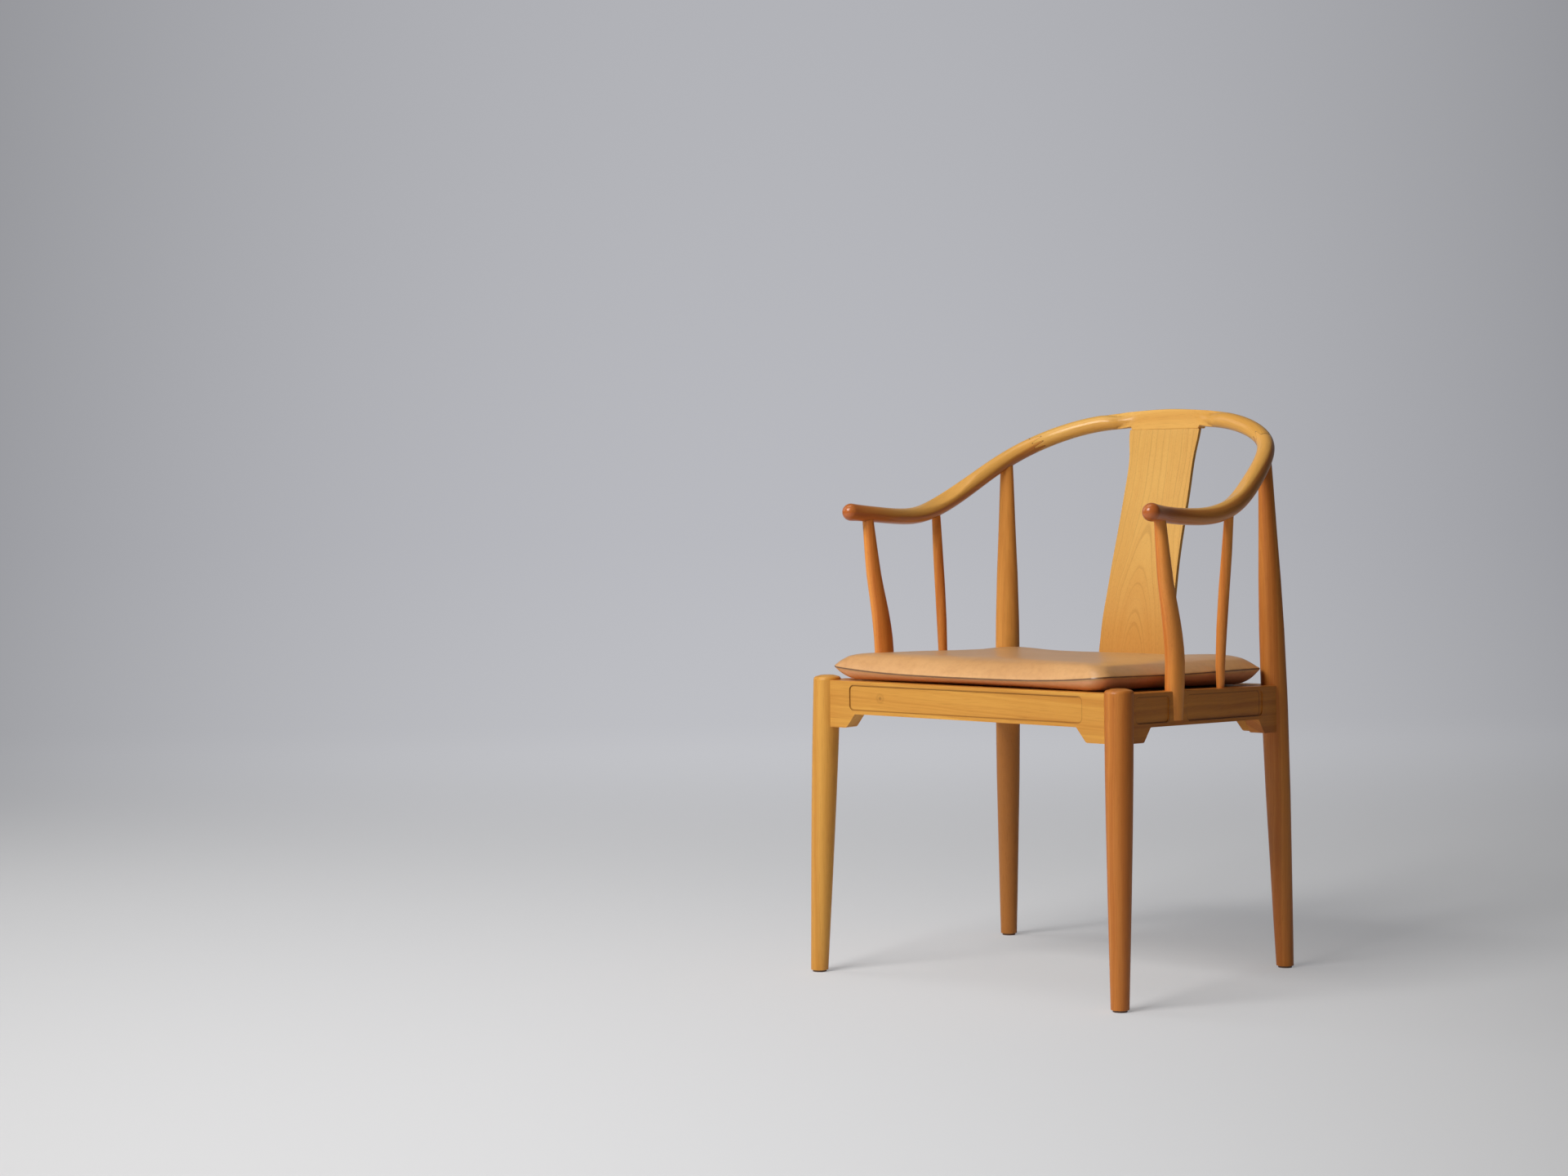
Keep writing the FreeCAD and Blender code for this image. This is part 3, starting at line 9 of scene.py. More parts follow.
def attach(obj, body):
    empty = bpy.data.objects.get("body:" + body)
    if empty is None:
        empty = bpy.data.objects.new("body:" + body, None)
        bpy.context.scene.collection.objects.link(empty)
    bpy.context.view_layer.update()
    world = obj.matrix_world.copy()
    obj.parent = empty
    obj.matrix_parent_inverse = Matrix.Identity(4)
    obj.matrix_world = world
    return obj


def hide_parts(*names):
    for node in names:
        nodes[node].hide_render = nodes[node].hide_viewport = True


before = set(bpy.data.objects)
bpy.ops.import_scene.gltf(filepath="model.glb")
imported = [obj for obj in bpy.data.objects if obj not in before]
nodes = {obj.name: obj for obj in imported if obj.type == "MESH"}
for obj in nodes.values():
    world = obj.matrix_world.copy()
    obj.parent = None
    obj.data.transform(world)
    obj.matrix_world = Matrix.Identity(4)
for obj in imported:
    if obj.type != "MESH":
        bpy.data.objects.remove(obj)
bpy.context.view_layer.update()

# Top of the seat rails at their front edge, its fall towards the back, and where that edge lies
SEAT_FRONT, SEAT_SLOPE, SEAT_FRONT_Y = 0.428, 0.0361, -0.2467
# Recessed fields of the rails: middle below the top, half the height, corner radius
FIELD_MIDDLE, FIELD_HALF_HIGH, FIELD_ROUND = 0.0240, 0.0180, 0.007


# Camera and studio

def put_camera():
    """Stands the camera where the photograph was taken from: turned, dipped and slightly rolled, as a
    pinhole camera fitted to the chair's legs, feet and rails says."""
    turn, dip, roll = 0.725942, 0.040146, -0.013118
    spot = Vector((2.56949, -3.52435, 0.73634))
    ahead = Vector((-math.sin(turn) * math.cos(dip), math.cos(turn) * math.cos(dip), -math.sin(dip)))
    level = Vector((math.cos(turn), math.sin(turn), 0.0))
    upright = level.cross(ahead)
    side = math.cos(roll) * level + math.sin(roll) * upright
    top = -math.sin(roll) * level + math.cos(roll) * upright
    lens = bpy.data.cameras.new("studio_camera")
    lens.sensor_fit = "HORIZONTAL"
    lens.sensor_width = 36.0
    lens.lens = 68.1255
    lens.clip_end = 60.0
    camera = bpy.data.objects.new("studio_camera", lens)
    bpy.context.collection.objects.link(camera)
    camera.matrix_world = Matrix.Translation(spot) @ Matrix((side, top, -ahead)).transposed().to_4x4()
    bpy.context.scene.camera = camera
    return ahead


def put_lamp(name, spot, aim, size, power, colour=(1.0, 1.0, 1.0)):
    """A soft lamp, a rectangle that faces a point."""
    light = bpy.data.lights.new(name, "AREA")
    light.shape = "RECTANGLE"
    light.size, light.size_y = size
    light.energy = power
    light.color = colour
    lamp = bpy.data.objects.new(name, light)
    lamp.location = spot
    lamp.rotation_euler = (Vector(aim) - Vector(spot)).to_track_quat("-Z", "Y").to_euler()
    bpy.context.collection.objects.link(lamp)


def put_world(strength):
    """A dim even surround."""
    world = bpy.data.worlds.new("studio_air")
    world.use_nodes = True
    ground = world.node_tree.nodes["Background"]
    ground.inputs["Color"].default_value = (0.90, 0.94, 1.0, 1.0)
    ground.inputs["Strength"].default_value = strength
    bpy.context.scene.world = world


def mesh_from_grid(name, points, closed=False):
    """A smooth surface from a grid of points. When closed, its last column joins its first."""
    rows, columns = points.shape[:2]
    index = np.arange(rows * columns).reshape(rows, columns)
    if closed:
        index = np.hstack([index, index[:, :1]])
    quads = np.stack([index[:-1, :-1], index[1:, :-1], index[1:, 1:], index[:-1, 1:]], -1).reshape(-1, 4)
    mesh = bpy.data.meshes.new(name)
    mesh.from_pydata(points.reshape(-1, 3).tolist(), [], quads.tolist())
    mesh.polygons.foreach_set("use_smooth", np.ones(len(quads), bool))
    mesh.update()
    return mesh


def put_piece(name, mesh):
    """An object at the origin that shows a mesh."""
    piece = bpy.data.objects.new(name, mesh)
    bpy.context.collection.objects.link(piece)
    return piece


def studio_sweep(ahead):
    """Floor and backdrop in one sheet: level, then a quarter circle, then upright, square to the camera."""
    forward = np.array([ahead.x, ahead.y, 0.0])
    forward /= np.linalg.norm(forward)
    across = np.array([forward[1], -forward[0], 0.0])
    near, reach, bend, tall, half_wide, floor_steps = -6.0, 4.2, 1.6, 5.0, 9.0, 12
    turn = np.linspace(0.0, np.pi / 2, 24)[1:]
    along = np.concatenate([np.linspace(near, reach, floor_steps), reach + bend * np.sin(turn), [reach + bend]])
    height = np.concatenate([np.zeros(floor_steps), bend * (1 - np.cos(turn)), [tall]])
    wide = np.linspace(-half_wide, half_wide, 8)
    points = (wide[:, None, None] * across + along[None, :, None] * forward
              + height[None, :, None] * np.array([0.0, 0.0, 1.0]))
    sheet = put_piece("studio_sweep", mesh_from_grid("studio_sweep", points))
    return sheet, forward, across


# Materials

def new_finish(name):
    """A new material, its node tree and its Principled shader."""
    finish = bpy.data.materials.new(name)
    finish.use_nodes = True
    tree = finish.node_tree
    shader = tree.nodes["Principled BSDF"]
    return finish, tree, shader


def node(tree, kind, **settings):
    """A shader node. A setting that starts with in_ is the value of a socket, any other is the node's own."""
    item = tree.nodes.new("ShaderNode" + kind)
    for key, entry in settings.items():
        if key.startswith("in_"):
            item.inputs[key[3:].replace("_", " ")].default_value = entry
        else:
            setattr(item, key, entry)
    return item


def maths(tree, operation, first, second=None, third=None):
    """One Math node whose inputs are sockets or numbers."""
    item = tree.nodes.new("ShaderNodeMath")
    item.operation = operation
    for slot, entry in enumerate((first, second, third)):
        if entry is None:
            continue
        if isinstance(entry, (int, float)):
            item.inputs[slot].default_value = entry
        else:
            tree.links.new(entry, item.inputs[slot])
    return item.outputs[0]


def ramp(tree, factor, stops):
    """A colour ramp from (place, colour) stops."""
    item = tree.nodes.new("ShaderNodeValToRGB")
    points = item.color_ramp.elements
    while len(points) < len(stops):
        points.new(0.5)
    for point, (place, colour) in zip(points, stops):
        point.position = place
        point.color = (*colour, 1.0)
    tree.links.new(factor, item.inputs["Fac"])
    return item.outputs["Color"]


def blend(tree, factor, first, second, mode="MIX"):
    """Mixes two colours, each a socket or a colour."""
    item = tree.nodes.new("ShaderNodeMix")
    item.data_type = "RGBA"
    item.blend_type = mode
    item.clamp_factor = True
    for slot, entry in ((0, factor), (6, first), (7, second)):
        if isinstance(entry, (int, float)):
            item.inputs[slot].default_value = entry
        elif isinstance(entry, tuple):
            item.inputs[slot].default_value = (*entry, 1.0)
        else:
            tree.links.new(entry, item.inputs[slot])
    return item.outputs[2]


def eased(tree, entry, start, end, first=0.0, last=1.0):
    """Goes smoothly from first to last while a value goes from start to end, and stays there outside."""
    item = node(tree, "MapRange", interpolation_type="SMOOTHSTEP", in_From_Min=start, in_From_Max=end,
                in_To_Min=first, in_To_Max=last)
    tree.links.new(entry, item.inputs["Value"])
    return item.outputs["Result"]


def speckle(tree, place, scale, detail, roughness=0.5):
    """Noise with so many lumps to the metre."""
    item = node(tree, "TexNoise", in_Scale=scale, in_Detail=detail, in_Roughness=roughness)
    tree.links.new(place, item.inputs["Vector"])
    return item.outputs["Fac"]


def shells(tree, where, detail, roughness, closeness):
    """Noise along one length only, for rings: so many to the metre of radius."""
    item = node(tree, "TexNoise", noise_dimensions="1D", in_Scale=closeness, in_Detail=detail,
                in_Roughness=roughness)
    tree.links.new(where, item.inputs["W"])
    return item.outputs["Fac"]


def tinted(colour, share):
    """A colour times a share."""
    return tuple(share * part for part in colour)


def field_edge(tree, length, back, up, middle, half):
    """How much a point of a rail's face lies on the edge of a recessed field, where a thin painted shade goes.
    The field is a
    rounded box: with q = |p - middle| - half + radius its edge is where |max(q, 0)| + min(max(q), 0) = radius."""
    level = maths(tree, "MULTIPLY_ADD", back, SEAT_SLOPE, up)
    field_height = SEAT_FRONT + SEAT_SLOPE * SEAT_FRONT_Y - FIELD_MIDDLE
    over, above = [maths(tree, "SUBTRACT", maths(tree, "ABSOLUTE", maths(tree, "SUBTRACT", spot, centre)),
                         size - FIELD_ROUND)
                   for spot, centre, size in ((length, middle, half), (level, field_height, FIELD_HALF_HIGH))]
    outer = [maths(tree, "POWER", maths(tree, "MAXIMUM", part, 0.0), 2.0) for part in (over, above)]
    corner = maths(tree, "SQRT", maths(tree, "ADD", *outer))
    inside = maths(tree, "MINIMUM", maths(tree, "MAXIMUM", over, above), 0.0)
    edge = maths(tree, "SUBTRACT", maths(tree, "ADD", corner, inside), FIELD_ROUND)
    return eased(tree, maths(tree, "ABSOLUTE", edge), 0.0016, 0.0003)


def knot_tone(tree, place, spot, size):
    """A knot: dark at its heart, a pale ring, then a darker halo that fades at its size."""
    gap = node(tree, "VectorMath", operation="DISTANCE")
    tree.links.new(place, gap.inputs[0])
    gap.inputs[1].default_value = spot
    stops = ((0.0, 1.0), (0.25, 0.5), (0.42, 0.05), (0.6, 0.3), (1.0, 0.0))
    return ramp(tree, maths(tree, "MULTIPLY", gap.outputs["Value"], 1.0 / size),
                [(where, (tone,) * 3) for where, tone in stops])


def wood_finish(name, along, pale, dark, seed, figure, streaks=0.45, lines=0.0, heart=(0.0, 0.03),
                taper=0.05, rings=70.0, level_off=None, through=1.0, grain=None, blush_and_shade=None, lit_top=None,
                knot=None, fields=(), roughness=0.40, coat=0.10):
    """Oiled wood. Growth rings are shells about a heart line, tilted by taper: radius = hypot(across,
    depth + taper·length + through·inwards), shaken by slow noise. A plain-sawn board shows them as nested
    arches. Above level_off the tilt stops, so that the arches end in straight lines. Streaks and pores are
    noise drawn out along the grain. lines is the strength of thin brown lines in the rings. grain names an
    attribute (length, across, up) for wood that follows a bend, whose joint_gap is the way to a glue line.
    blush is (colour, start, end): a colour that fades between two places along the grain; on the arms and the
    splat it is redder wood, on the rear left post it is painted shade below the seat. worn is paler colour on
    the top, a painted light from above. knot is (place, size). fields are (middle, half length) of recesses
    along the board, whose edges get a thin painted shade line."""
    black, white = (0, 0, 0), (1, 1, 1)
    finish, tree, shader = new_finish(name)
    link = tree.links.new
    if grain:
        place = node(tree, "Attribute", attribute_name=grain).outputs["Vector"]
    else:
        place = node(tree, "TexCoord").outputs["Object"]
    split = node(tree, "SeparateXYZ")
    link(place, split.inputs[0])
    length = split.outputs[along]
    first, second = [split.outputs[k] for k in range(3) if k != along]

    def drawn_out(across_scale, along_scale, detail, roughness=0.55, shift=0.0):
        """Noise that changes along_scale times a metre along the grain and across_scale times across it."""
        scale = [across_scale] * 3
        scale[along] = along_scale
        where = node(tree, "Mapping", in_Scale=scale,
                     in_Location=(seed + shift, seed * 0.7 - shift, shift - seed))
        link(place, where.inputs["Vector"])
        return speckle(tree, where.outputs[0], 1.0, detail, roughness)

    sway = maths(tree, "MULTIPLY_ADD", drawn_out(9.0, 2.2, 3.0), 0.030, -0.015)
    climb = length if level_off is None else maths(tree, "SMOOTH_MIN", length, level_off, 0.10)
    one = maths(tree, "ADD", maths(tree, "ADD", first, heart[0]), sway)
    two = maths(tree, "ADD", maths(tree, "MULTIPLY_ADD", climb, taper, heart[1]),
                maths(tree, "MULTIPLY", second, through))
    squares = [maths(tree, "MULTIPLY", part, part) for part in (one, two)]
    radius = maths(tree, "SQRT", maths(tree, "ADD", *squares))
    ring = shells(tree, maths(tree, "ADD", radius, seed), 3.0, 0.62, rings)
    band = ramp(tree, ring, ((0.34, black), (0.66, white)))
    cloud = drawn_out(7.0, 3.0, 2.0, shift=4.1)
    streak = drawn_out(150.0, 4.0, 3.0, 0.6, shift=1.7)
    tone = maths(tree, "MULTIPLY_ADD", band, figure, maths(tree, "MULTIPLY", streak, streaks))
    tone = maths(tree, "ADD", tone, maths(tree, "MULTIPLY_ADD", cloud, 0.9, -0.42))
    base = blend(tree, tone, pale, dark)
    if lines:
        late = ramp(tree, shells(tree, radius, 1.0, 0.5, 560.0), ((0.56, black), (0.70, white)))
        patchy = maths(tree, "MULTIPLY", drawn_out(30.0, 3.0, 2.0, shift=8.3), lines)
        base = blend(tree, maths(tree, "MULTIPLY", late, patchy), base, tinted(dark, 0.62))
    if lit_top:
        # painted light: the paler top, lit from above, leans inwards
        raised = maths(tree, "MULTIPLY_ADD", split.outputs[1], -0.45, split.outputs[2])
        base = blend(tree, maths(tree, "MULTIPLY", eased(tree, raised, 0.0035, 0.0085), 0.85), base, lit_top)
    # a colour fading along the grain: redder wood on the arms and splat, painted shade below the seat on the
    # rear left post
    if blush_and_shade:
        colour, start, end = blush_and_shade
        ragged = maths(tree, "MULTIPLY_ADD", streak, 0.05, length)
        base = blend(tree, eased(tree, ragged, start, end, 0.9, 0.0), base, colour)
    if grain:
        gap = node(tree, "Attribute", attribute_name="joint_gap").outputs["Fac"]
        glue = maths(tree, "MULTIPLY", eased(tree, gap, 0.0013, 0.0002), 0.85)
        base = blend(tree, glue, base, (0.16, 0.055, 0.016))
    if knot:
        base = blend(tree, maths(tree, "MULTIPLY", knot_tone(tree, place, *knot), 0.75), base,
                     tinted(dark, 0.42))
    # painted shade: a thin dark line along the edges of the recessed fields
    for middle, half in fields:
        shade = field_edge(tree, length, split.outputs[1], split.outputs[2], middle, half)
        base = blend(tree, maths(tree, "MULTIPLY", shade, 0.55), base, tinted(dark, 0.40))
    fibre = drawn_out(1500.0, 30.0, 2.0)
    pore = ramp(tree, fibre, ((0.28, (0.84, 0.80, 0.76)), (0.45, white)))
    link(blend(tree, 1.0, base, pore, "MULTIPLY"), shader.inputs["Base Color"])
    link(maths(tree, "MULTIPLY_ADD", streak, 0.14, roughness - 0.07), shader.inputs["Roughness"])
    shader.inputs["Specular IOR Level"].default_value = 0.22
    shader.inputs["Coat Weight"].default_value = coat
    shader.inputs["Coat Roughness"].default_value = 0.13
    raise_grain(tree, shader, fibre, 0.10)
    return finish


def raise_grain(tree, shader, height, strength):
    """Lets a shader catch the light as if its surface rose and fell by a few tenths of a millimetre."""
    bump = node(tree, "Bump", in_Strength=strength, in_Distance=0.0004)
    tree.links.new(height, bump.inputs["Height"])
    tree.links.new(bump.outputs[0], shader.inputs["Normal"])


def leather_finish():
    """Tan leather: cloudy tone, redder below the seam and paler there as painted light on the shaded under
    panel, a dark line in the seam, pebbled grain from cells and fine creases, and a soft sheen. The attribute
    seam_gap is the way to the seam over the leather in metres, below zero under the seam."""
    finish, tree, shader = new_finish("tan_leather_hide")
    link = tree.links.new
    place = node(tree, "TexCoord").outputs["Object"]
    gap = node(tree, "Attribute", attribute_name="seam_gap").outputs["Fac"]
    cloud = speckle(tree, place, 5.0, 4.0, 0.6)
    base = ramp(tree, cloud, ((0.30, (0.62, 0.315, 0.118)), (0.70, (0.73, 0.405, 0.165))))
    # painted light: below the seam a paler, redder tone lifts the under panel's shade
    under = maths(tree, "MULTIPLY", eased(tree, gap, 0.0, -0.004), 0.85)
    base = blend(tree, under, base, (0.84, 0.40, 0.20))
    fleck = speckle(tree, place, 90.0, 4.0, 0.65)
    mottle = ramp(tree, fleck, ((0.30, (0.90, 0.87, 0.84)), (0.60, (1, 1, 1))))
    base = blend(tree, 1.0, base, mottle, "MULTIPLY")
    line = maths(tree, "MULTIPLY", eased(tree, maths(tree, "ABSOLUTE", gap), 0.0007, 0.0002), 0.88)
    link(blend(tree, line, base, (0.09, 0.035, 0.015)), shader.inputs["Base Color"])
    cells = node(tree, "TexVoronoi", in_Scale=620.0, feature="SMOOTH_F1")
    link(place, cells.inputs["Vector"])
    crease = speckle(tree, place, 160.0, 5.0, 0.6)
    raise_grain(tree, shader, maths(tree, "MULTIPLY_ADD", crease, 0.8, cells.outputs["Distance"]), 0.16)
    link(maths(tree, "MULTIPLY_ADD", fleck, 0.14, 0.29), shader.inputs["Roughness"])
    shader.inputs["Coat Weight"].default_value = 0.26
    shader.inputs["Coat Roughness"].default_value = 0.24
    return finish


def plain_finish(name, colour, roughness, metallic=0.0):
    """A plain surface with a slight mottled change of tone and sheen."""
    finish, tree, shader = new_finish(name)
    cloud = speckle(tree, node(tree, "TexCoord").outputs["Object"], 60.0, 3.0)
    tone = ramp(tree, cloud, ((0.3, tinted(colour, 0.88)), (0.7, tinted(colour, 1.12))))
    tree.links.new(tone, shader.inputs["Base Color"])
    tree.links.new(maths(tree, "MULTIPLY_ADD", cloud, 0.12, roughness - 0.06), shader.inputs["Roughness"])
    shader.inputs["Metallic"].default_value = metallic
    return finish


def sweep_finish(forward, across):
    """Grey paper. The floor near the chair takes the lamps' light and shadows, and to the camera it is partly a
    painted glow that lightens those shadows. Further back the paper glows to the camera, and faintly to shiny
    things, a painted light in cool grey that pales towards the floor and greys towards the picture's sides."""
    finish, tree, shader = new_finish("studio_paper")
    link = tree.links.new
    place = node(tree, "TexCoord").outputs["Object"]

    def measure(axis):
        """How far a point lies along an axis."""
        dot = node(tree, "VectorMath", operation="DOT_PRODUCT")
        link(place, dot.inputs[0])
        dot.inputs[1].default_value = tuple(float(part) for part in axis)
        return dot.outputs["Value"]

    back, side, high = measure(forward), measure(across), measure((0.0, 0.0, 1.0))
    shader.inputs["Base Color"].default_value = (0.80, 0.80, 0.81, 1.0)
    shader.inputs["Roughness"].default_value = 0.9
    shader.inputs["Specular IOR Level"].default_value = 0.15
    # the picture's middle line lies to the left of the chair, and the picture widens with distance
    middle_left, half_view, widening = 0.42, 1.15, 0.264
    off = maths(tree, "DIVIDE", maths(tree, "ADD", side, middle_left),
                maths(tree, "MULTIPLY_ADD", back, widening, half_view))
    fade = maths(tree, "MULTIPLY", maths(tree, "POWER", maths(tree, "ABSOLUTE", off), 2.0), 0.31)
    rise = maths(tree, "ADD", maths(tree, "MULTIPLY", high, 0.30), maths(tree, "MULTIPLY", back, 0.012))
    tone = ramp(tree, maths(tree, "MAXIMUM", rise, 0.0), (
        (0.0, (0.640, 0.645, 0.665)), (0.05, (0.520, 0.525, 0.555)), (0.22, (0.485, 0.49, 0.525)),
        (0.60, (0.455, 0.46, 0.49)), (1.0, (0.43, 0.435, 0.465))))
    glow = node(tree, "Emission")
    link(blend(tree, fade, tone, (0.0, 0.0, 0.0)), glow.inputs["Color"])
    # painted light: near the chair the floor is still partly glow to the camera, which lightens its shadows
    far = eased(tree, back, 0.7, 3.6, 0.42)
    rays = node(tree, "LightPath")
    watched = maths(tree, "MULTIPLY_ADD", rays.outputs["Is Glossy Ray"], 0.16, rays.outputs["Is Camera Ray"])
    mix = node(tree, "MixShader")
    link(maths(tree, "MULTIPLY", far, watched), mix.inputs[0])
    link(shader.outputs[0], mix.inputs[1])
    link(glow.outputs[0], mix.inputs[2])
    link(mix.outputs[0], tree.nodes["Material Output"].inputs["Surface"])
    return finish


def dress(finish, *names):
    """Gives CAD nodes a finish."""
    for name in names:
        for slot in nodes[name].material_slots:
            slot.material = finish


# Horseshoe rail

# out, aft, high, width and height of the section, in millimetres, from the right tip to the middle
RAIL_STATIONS = np.array([
    (267.5, -177.0, 671.0, 24.9, 24.9), (258.4, -124.9, 666.1, 23.8, 23.5), (260.5, -71.1, 662.6, 25.2, 23.8),
    (265.1, -16.0, 665.2, 28.2, 25.7), (263.0, 39.6, 681.9, 29.6, 28.2), (253.6, 94.7, 709.0, 27.9, 27.4),
    (239.9, 145.4, 738.0, 26.2, 26.2), (215.1, 191.4, 764.6, 25.2, 25.5), (173.6, 222.4, 785.3, 25.0, 25.0),
    (118.0, 243.4, 799.3, 25.0, 24.5), (60.2, 257.2, 804.6, 24.5, 25.0), (0.0, 260.5, 806.8, 25.0, 26.0)])
# The fingers' length, spacing and blunt ends, half the section and half the glue line at the joint, how
# far from the joint's middle the rings follow the fingers, and the last rings' distances from the joint
FINGER_LONG, FINGER_PITCH, FINGER_TIP = 0.018, 0.008, 0.0016
JOINT_HALF_WIDE, JOINT_HALF_HIGH, HALF_GLUE, JOINT_NEAR = 0.0128, 0.0127, 0.00008, 0.045
JOINT_RINGS = np.array([0.0, 0.0005, 0.0011])[:, None]
# The splat's top: height of its seam, place, lean and half width, then the lug's thickness and flare
SEAM_HIGH, SPLAT_TOP_AFT, SPLAT_LEAN, SPLAT_HALF = 0.789, 0.248, math.radians(15.6), 0.063
LUG_THICK, LUG_FLARE = 0.015, 0.012
# Rings of the arm's domed tip, rings that close an end, least cosine to divide by, and a length near zero
DOME_RINGS, CAP_RINGS, LEAST_FACING, NO_LENGTH = 25, 3, 0.02, 1e-5


def spline_through(knots, values):
    """A natural cubic spline. Its second slopes m solve h[i-1]·m[i-1] + 2·(h[i-1] + h[i])·m[i] + h[i]·m[i+1]
    = 6·(d[i] - d[i-1]), where h are the steps between knots and d the slopes of the chords."""
    step = np.diff(knots)
    chord = np.diff(values, axis=0) / step[:, None]
    inner = np.arange(1, len(knots) - 1)
    matrix = np.eye(len(knots))
    matrix[inner, inner - 1] = step[:-1]
    matrix[inner, inner] = 2 * (step[:-1] + step[1:])
    matrix[inner, inner + 1] = step[1:]
    right = np.zeros_like(values)
    right[1:-1] = 6 * (chord[1:] - chord[:-1])
    bend = np.linalg.solve(matrix, right)

    def at(places):
        k = np.clip(np.searchsorted(knots, places) - 1, 0, len(knots) - 2)
        a = ((places - knots[k]) / step[k])[..., None]
        b = 1 - a
        square = (step[k] ** 2 / 6)[..., None]
        return (values[k] * b + values[k + 1] * a
                + (b ** 3 - b) * square * bend[k] + (a ** 3 - a) * square * bend[k + 1])
    return at


def rail_spline():
    """The rail from tip to tip: centre line and section size over the way along it."""
    right = RAIL_STATIONS / 1000
    left = right[-2::-1] * np.array([-1, 1, 1, 1, 1])
    whole = np.vstack([right, left])
    knots = np.concatenate([[0], np.cumsum(np.linalg.norm(np.diff(whole[:, :3], axis=0), axis=1))])
    return knots, spline_through(knots, whole)


RAIL_KNOTS, rail_at = rail_spline()
JOINT_PLACE = RAIL_KNOTS[7] + 0.27 * (RAIL_KNOTS[8] - RAIL_KNOTS[7])


def rail_sections(places, angles):
    """Frames along the rail. places has a row a ring and a column an angle. Returns centres, directions
    e = level·cos(angle) + upright·sin(angle), the half width and half height and both unit vectors."""
    tiny = 1e-4
    here = rail_at(places)
    tangent = rail_at(places + tiny)[..., :3] - rail_at(places - tiny)[..., :3]
    tangent /= np.linalg.norm(tangent, axis=-1, keepdims=True)
    level = np.cross(tangent, [0.0, 0.0, 1.0])
    level /= np.linalg.norm(level, axis=-1, keepdims=True)
    upright = np.cross(level, tangent)
    aim = level * np.cos(angles)[None, :, None] + upright * np.sin(angles)[None, :, None]
    return here[..., :3], aim, here[..., 3] / 2, here[..., 4] / 2, level, upright, tangent


def soft_least(first, second, sharp):
    """Smaller of two lengths with the corner between them rounded: (a^-k + b^-k)^(-1/k)."""
    return (first ** -sharp + second ** -sharp) ** (-1 / sharp)


def soft_most(first, second, sharp):
    """Larger of two lengths with the hollow between them filled: (a^k + b^k)^(1/k)."""
    return (first ** sharp + second ** sharp) ** (1 / sharp)


def hump(value, place, reach):
    """A smooth hump of height 1 about a place: exp(-((value - place) / reach)^2)."""
    return np.exp(-((value - place) / reach) ** 2)


def smooth(share):
    """Eases a share that is cut to 0 and 1: s^2·(3 - 2·s)."""
    share = np.clip(share, 0, 1)
    return share ** 2 * (3 - 2 * share)


def joint_line(angles):
    """Where the joint comes along the rail at each angle of the section: the fingers' zigzag over the
    height, between plus and minus half a finger, with flat tips."""
    up = np.sin(angles) * oval_radius(angles, JOINT_HALF_WIDE, JOINT_HALF_HIGH)
    within = np.abs((up + FINGER_PITCH / 2) % FINGER_PITCH - FINGER_PITCH / 2)
    slide = np.clip((within - FINGER_TIP / 2) / (FINGER_PITCH / 2 - FINGER_TIP), 0, 1)
    return JOINT_PLACE + FINGER_LONG / 2 * (1 - 2 * slide)


def oval_radius(angles, half_wide, half_high):
    """From the middle of an ellipse to its edge: 1 / hypot(cos(angle) / half width, sin(angle) / half
    height)."""
    return 1 / np.sqrt((np.cos(angles) / half_wide) ** 2 + (np.sin(angles) / half_high) ** 2)


def with_ends(rows, before, after):
    """Rows with the first repeated before them and the last after them."""
    return np.vstack([np.repeat(rows[:1], before, 0), rows, np.repeat(rows[-1:], after, 0)])


def grain_marks(way, offset, level, upright):
    """The grain's own coordinates of points: way along the rail, then across and up in the section."""
    return np.stack([way, (offset * level).sum(-1), (offset * upright).sum(-1)], -1)


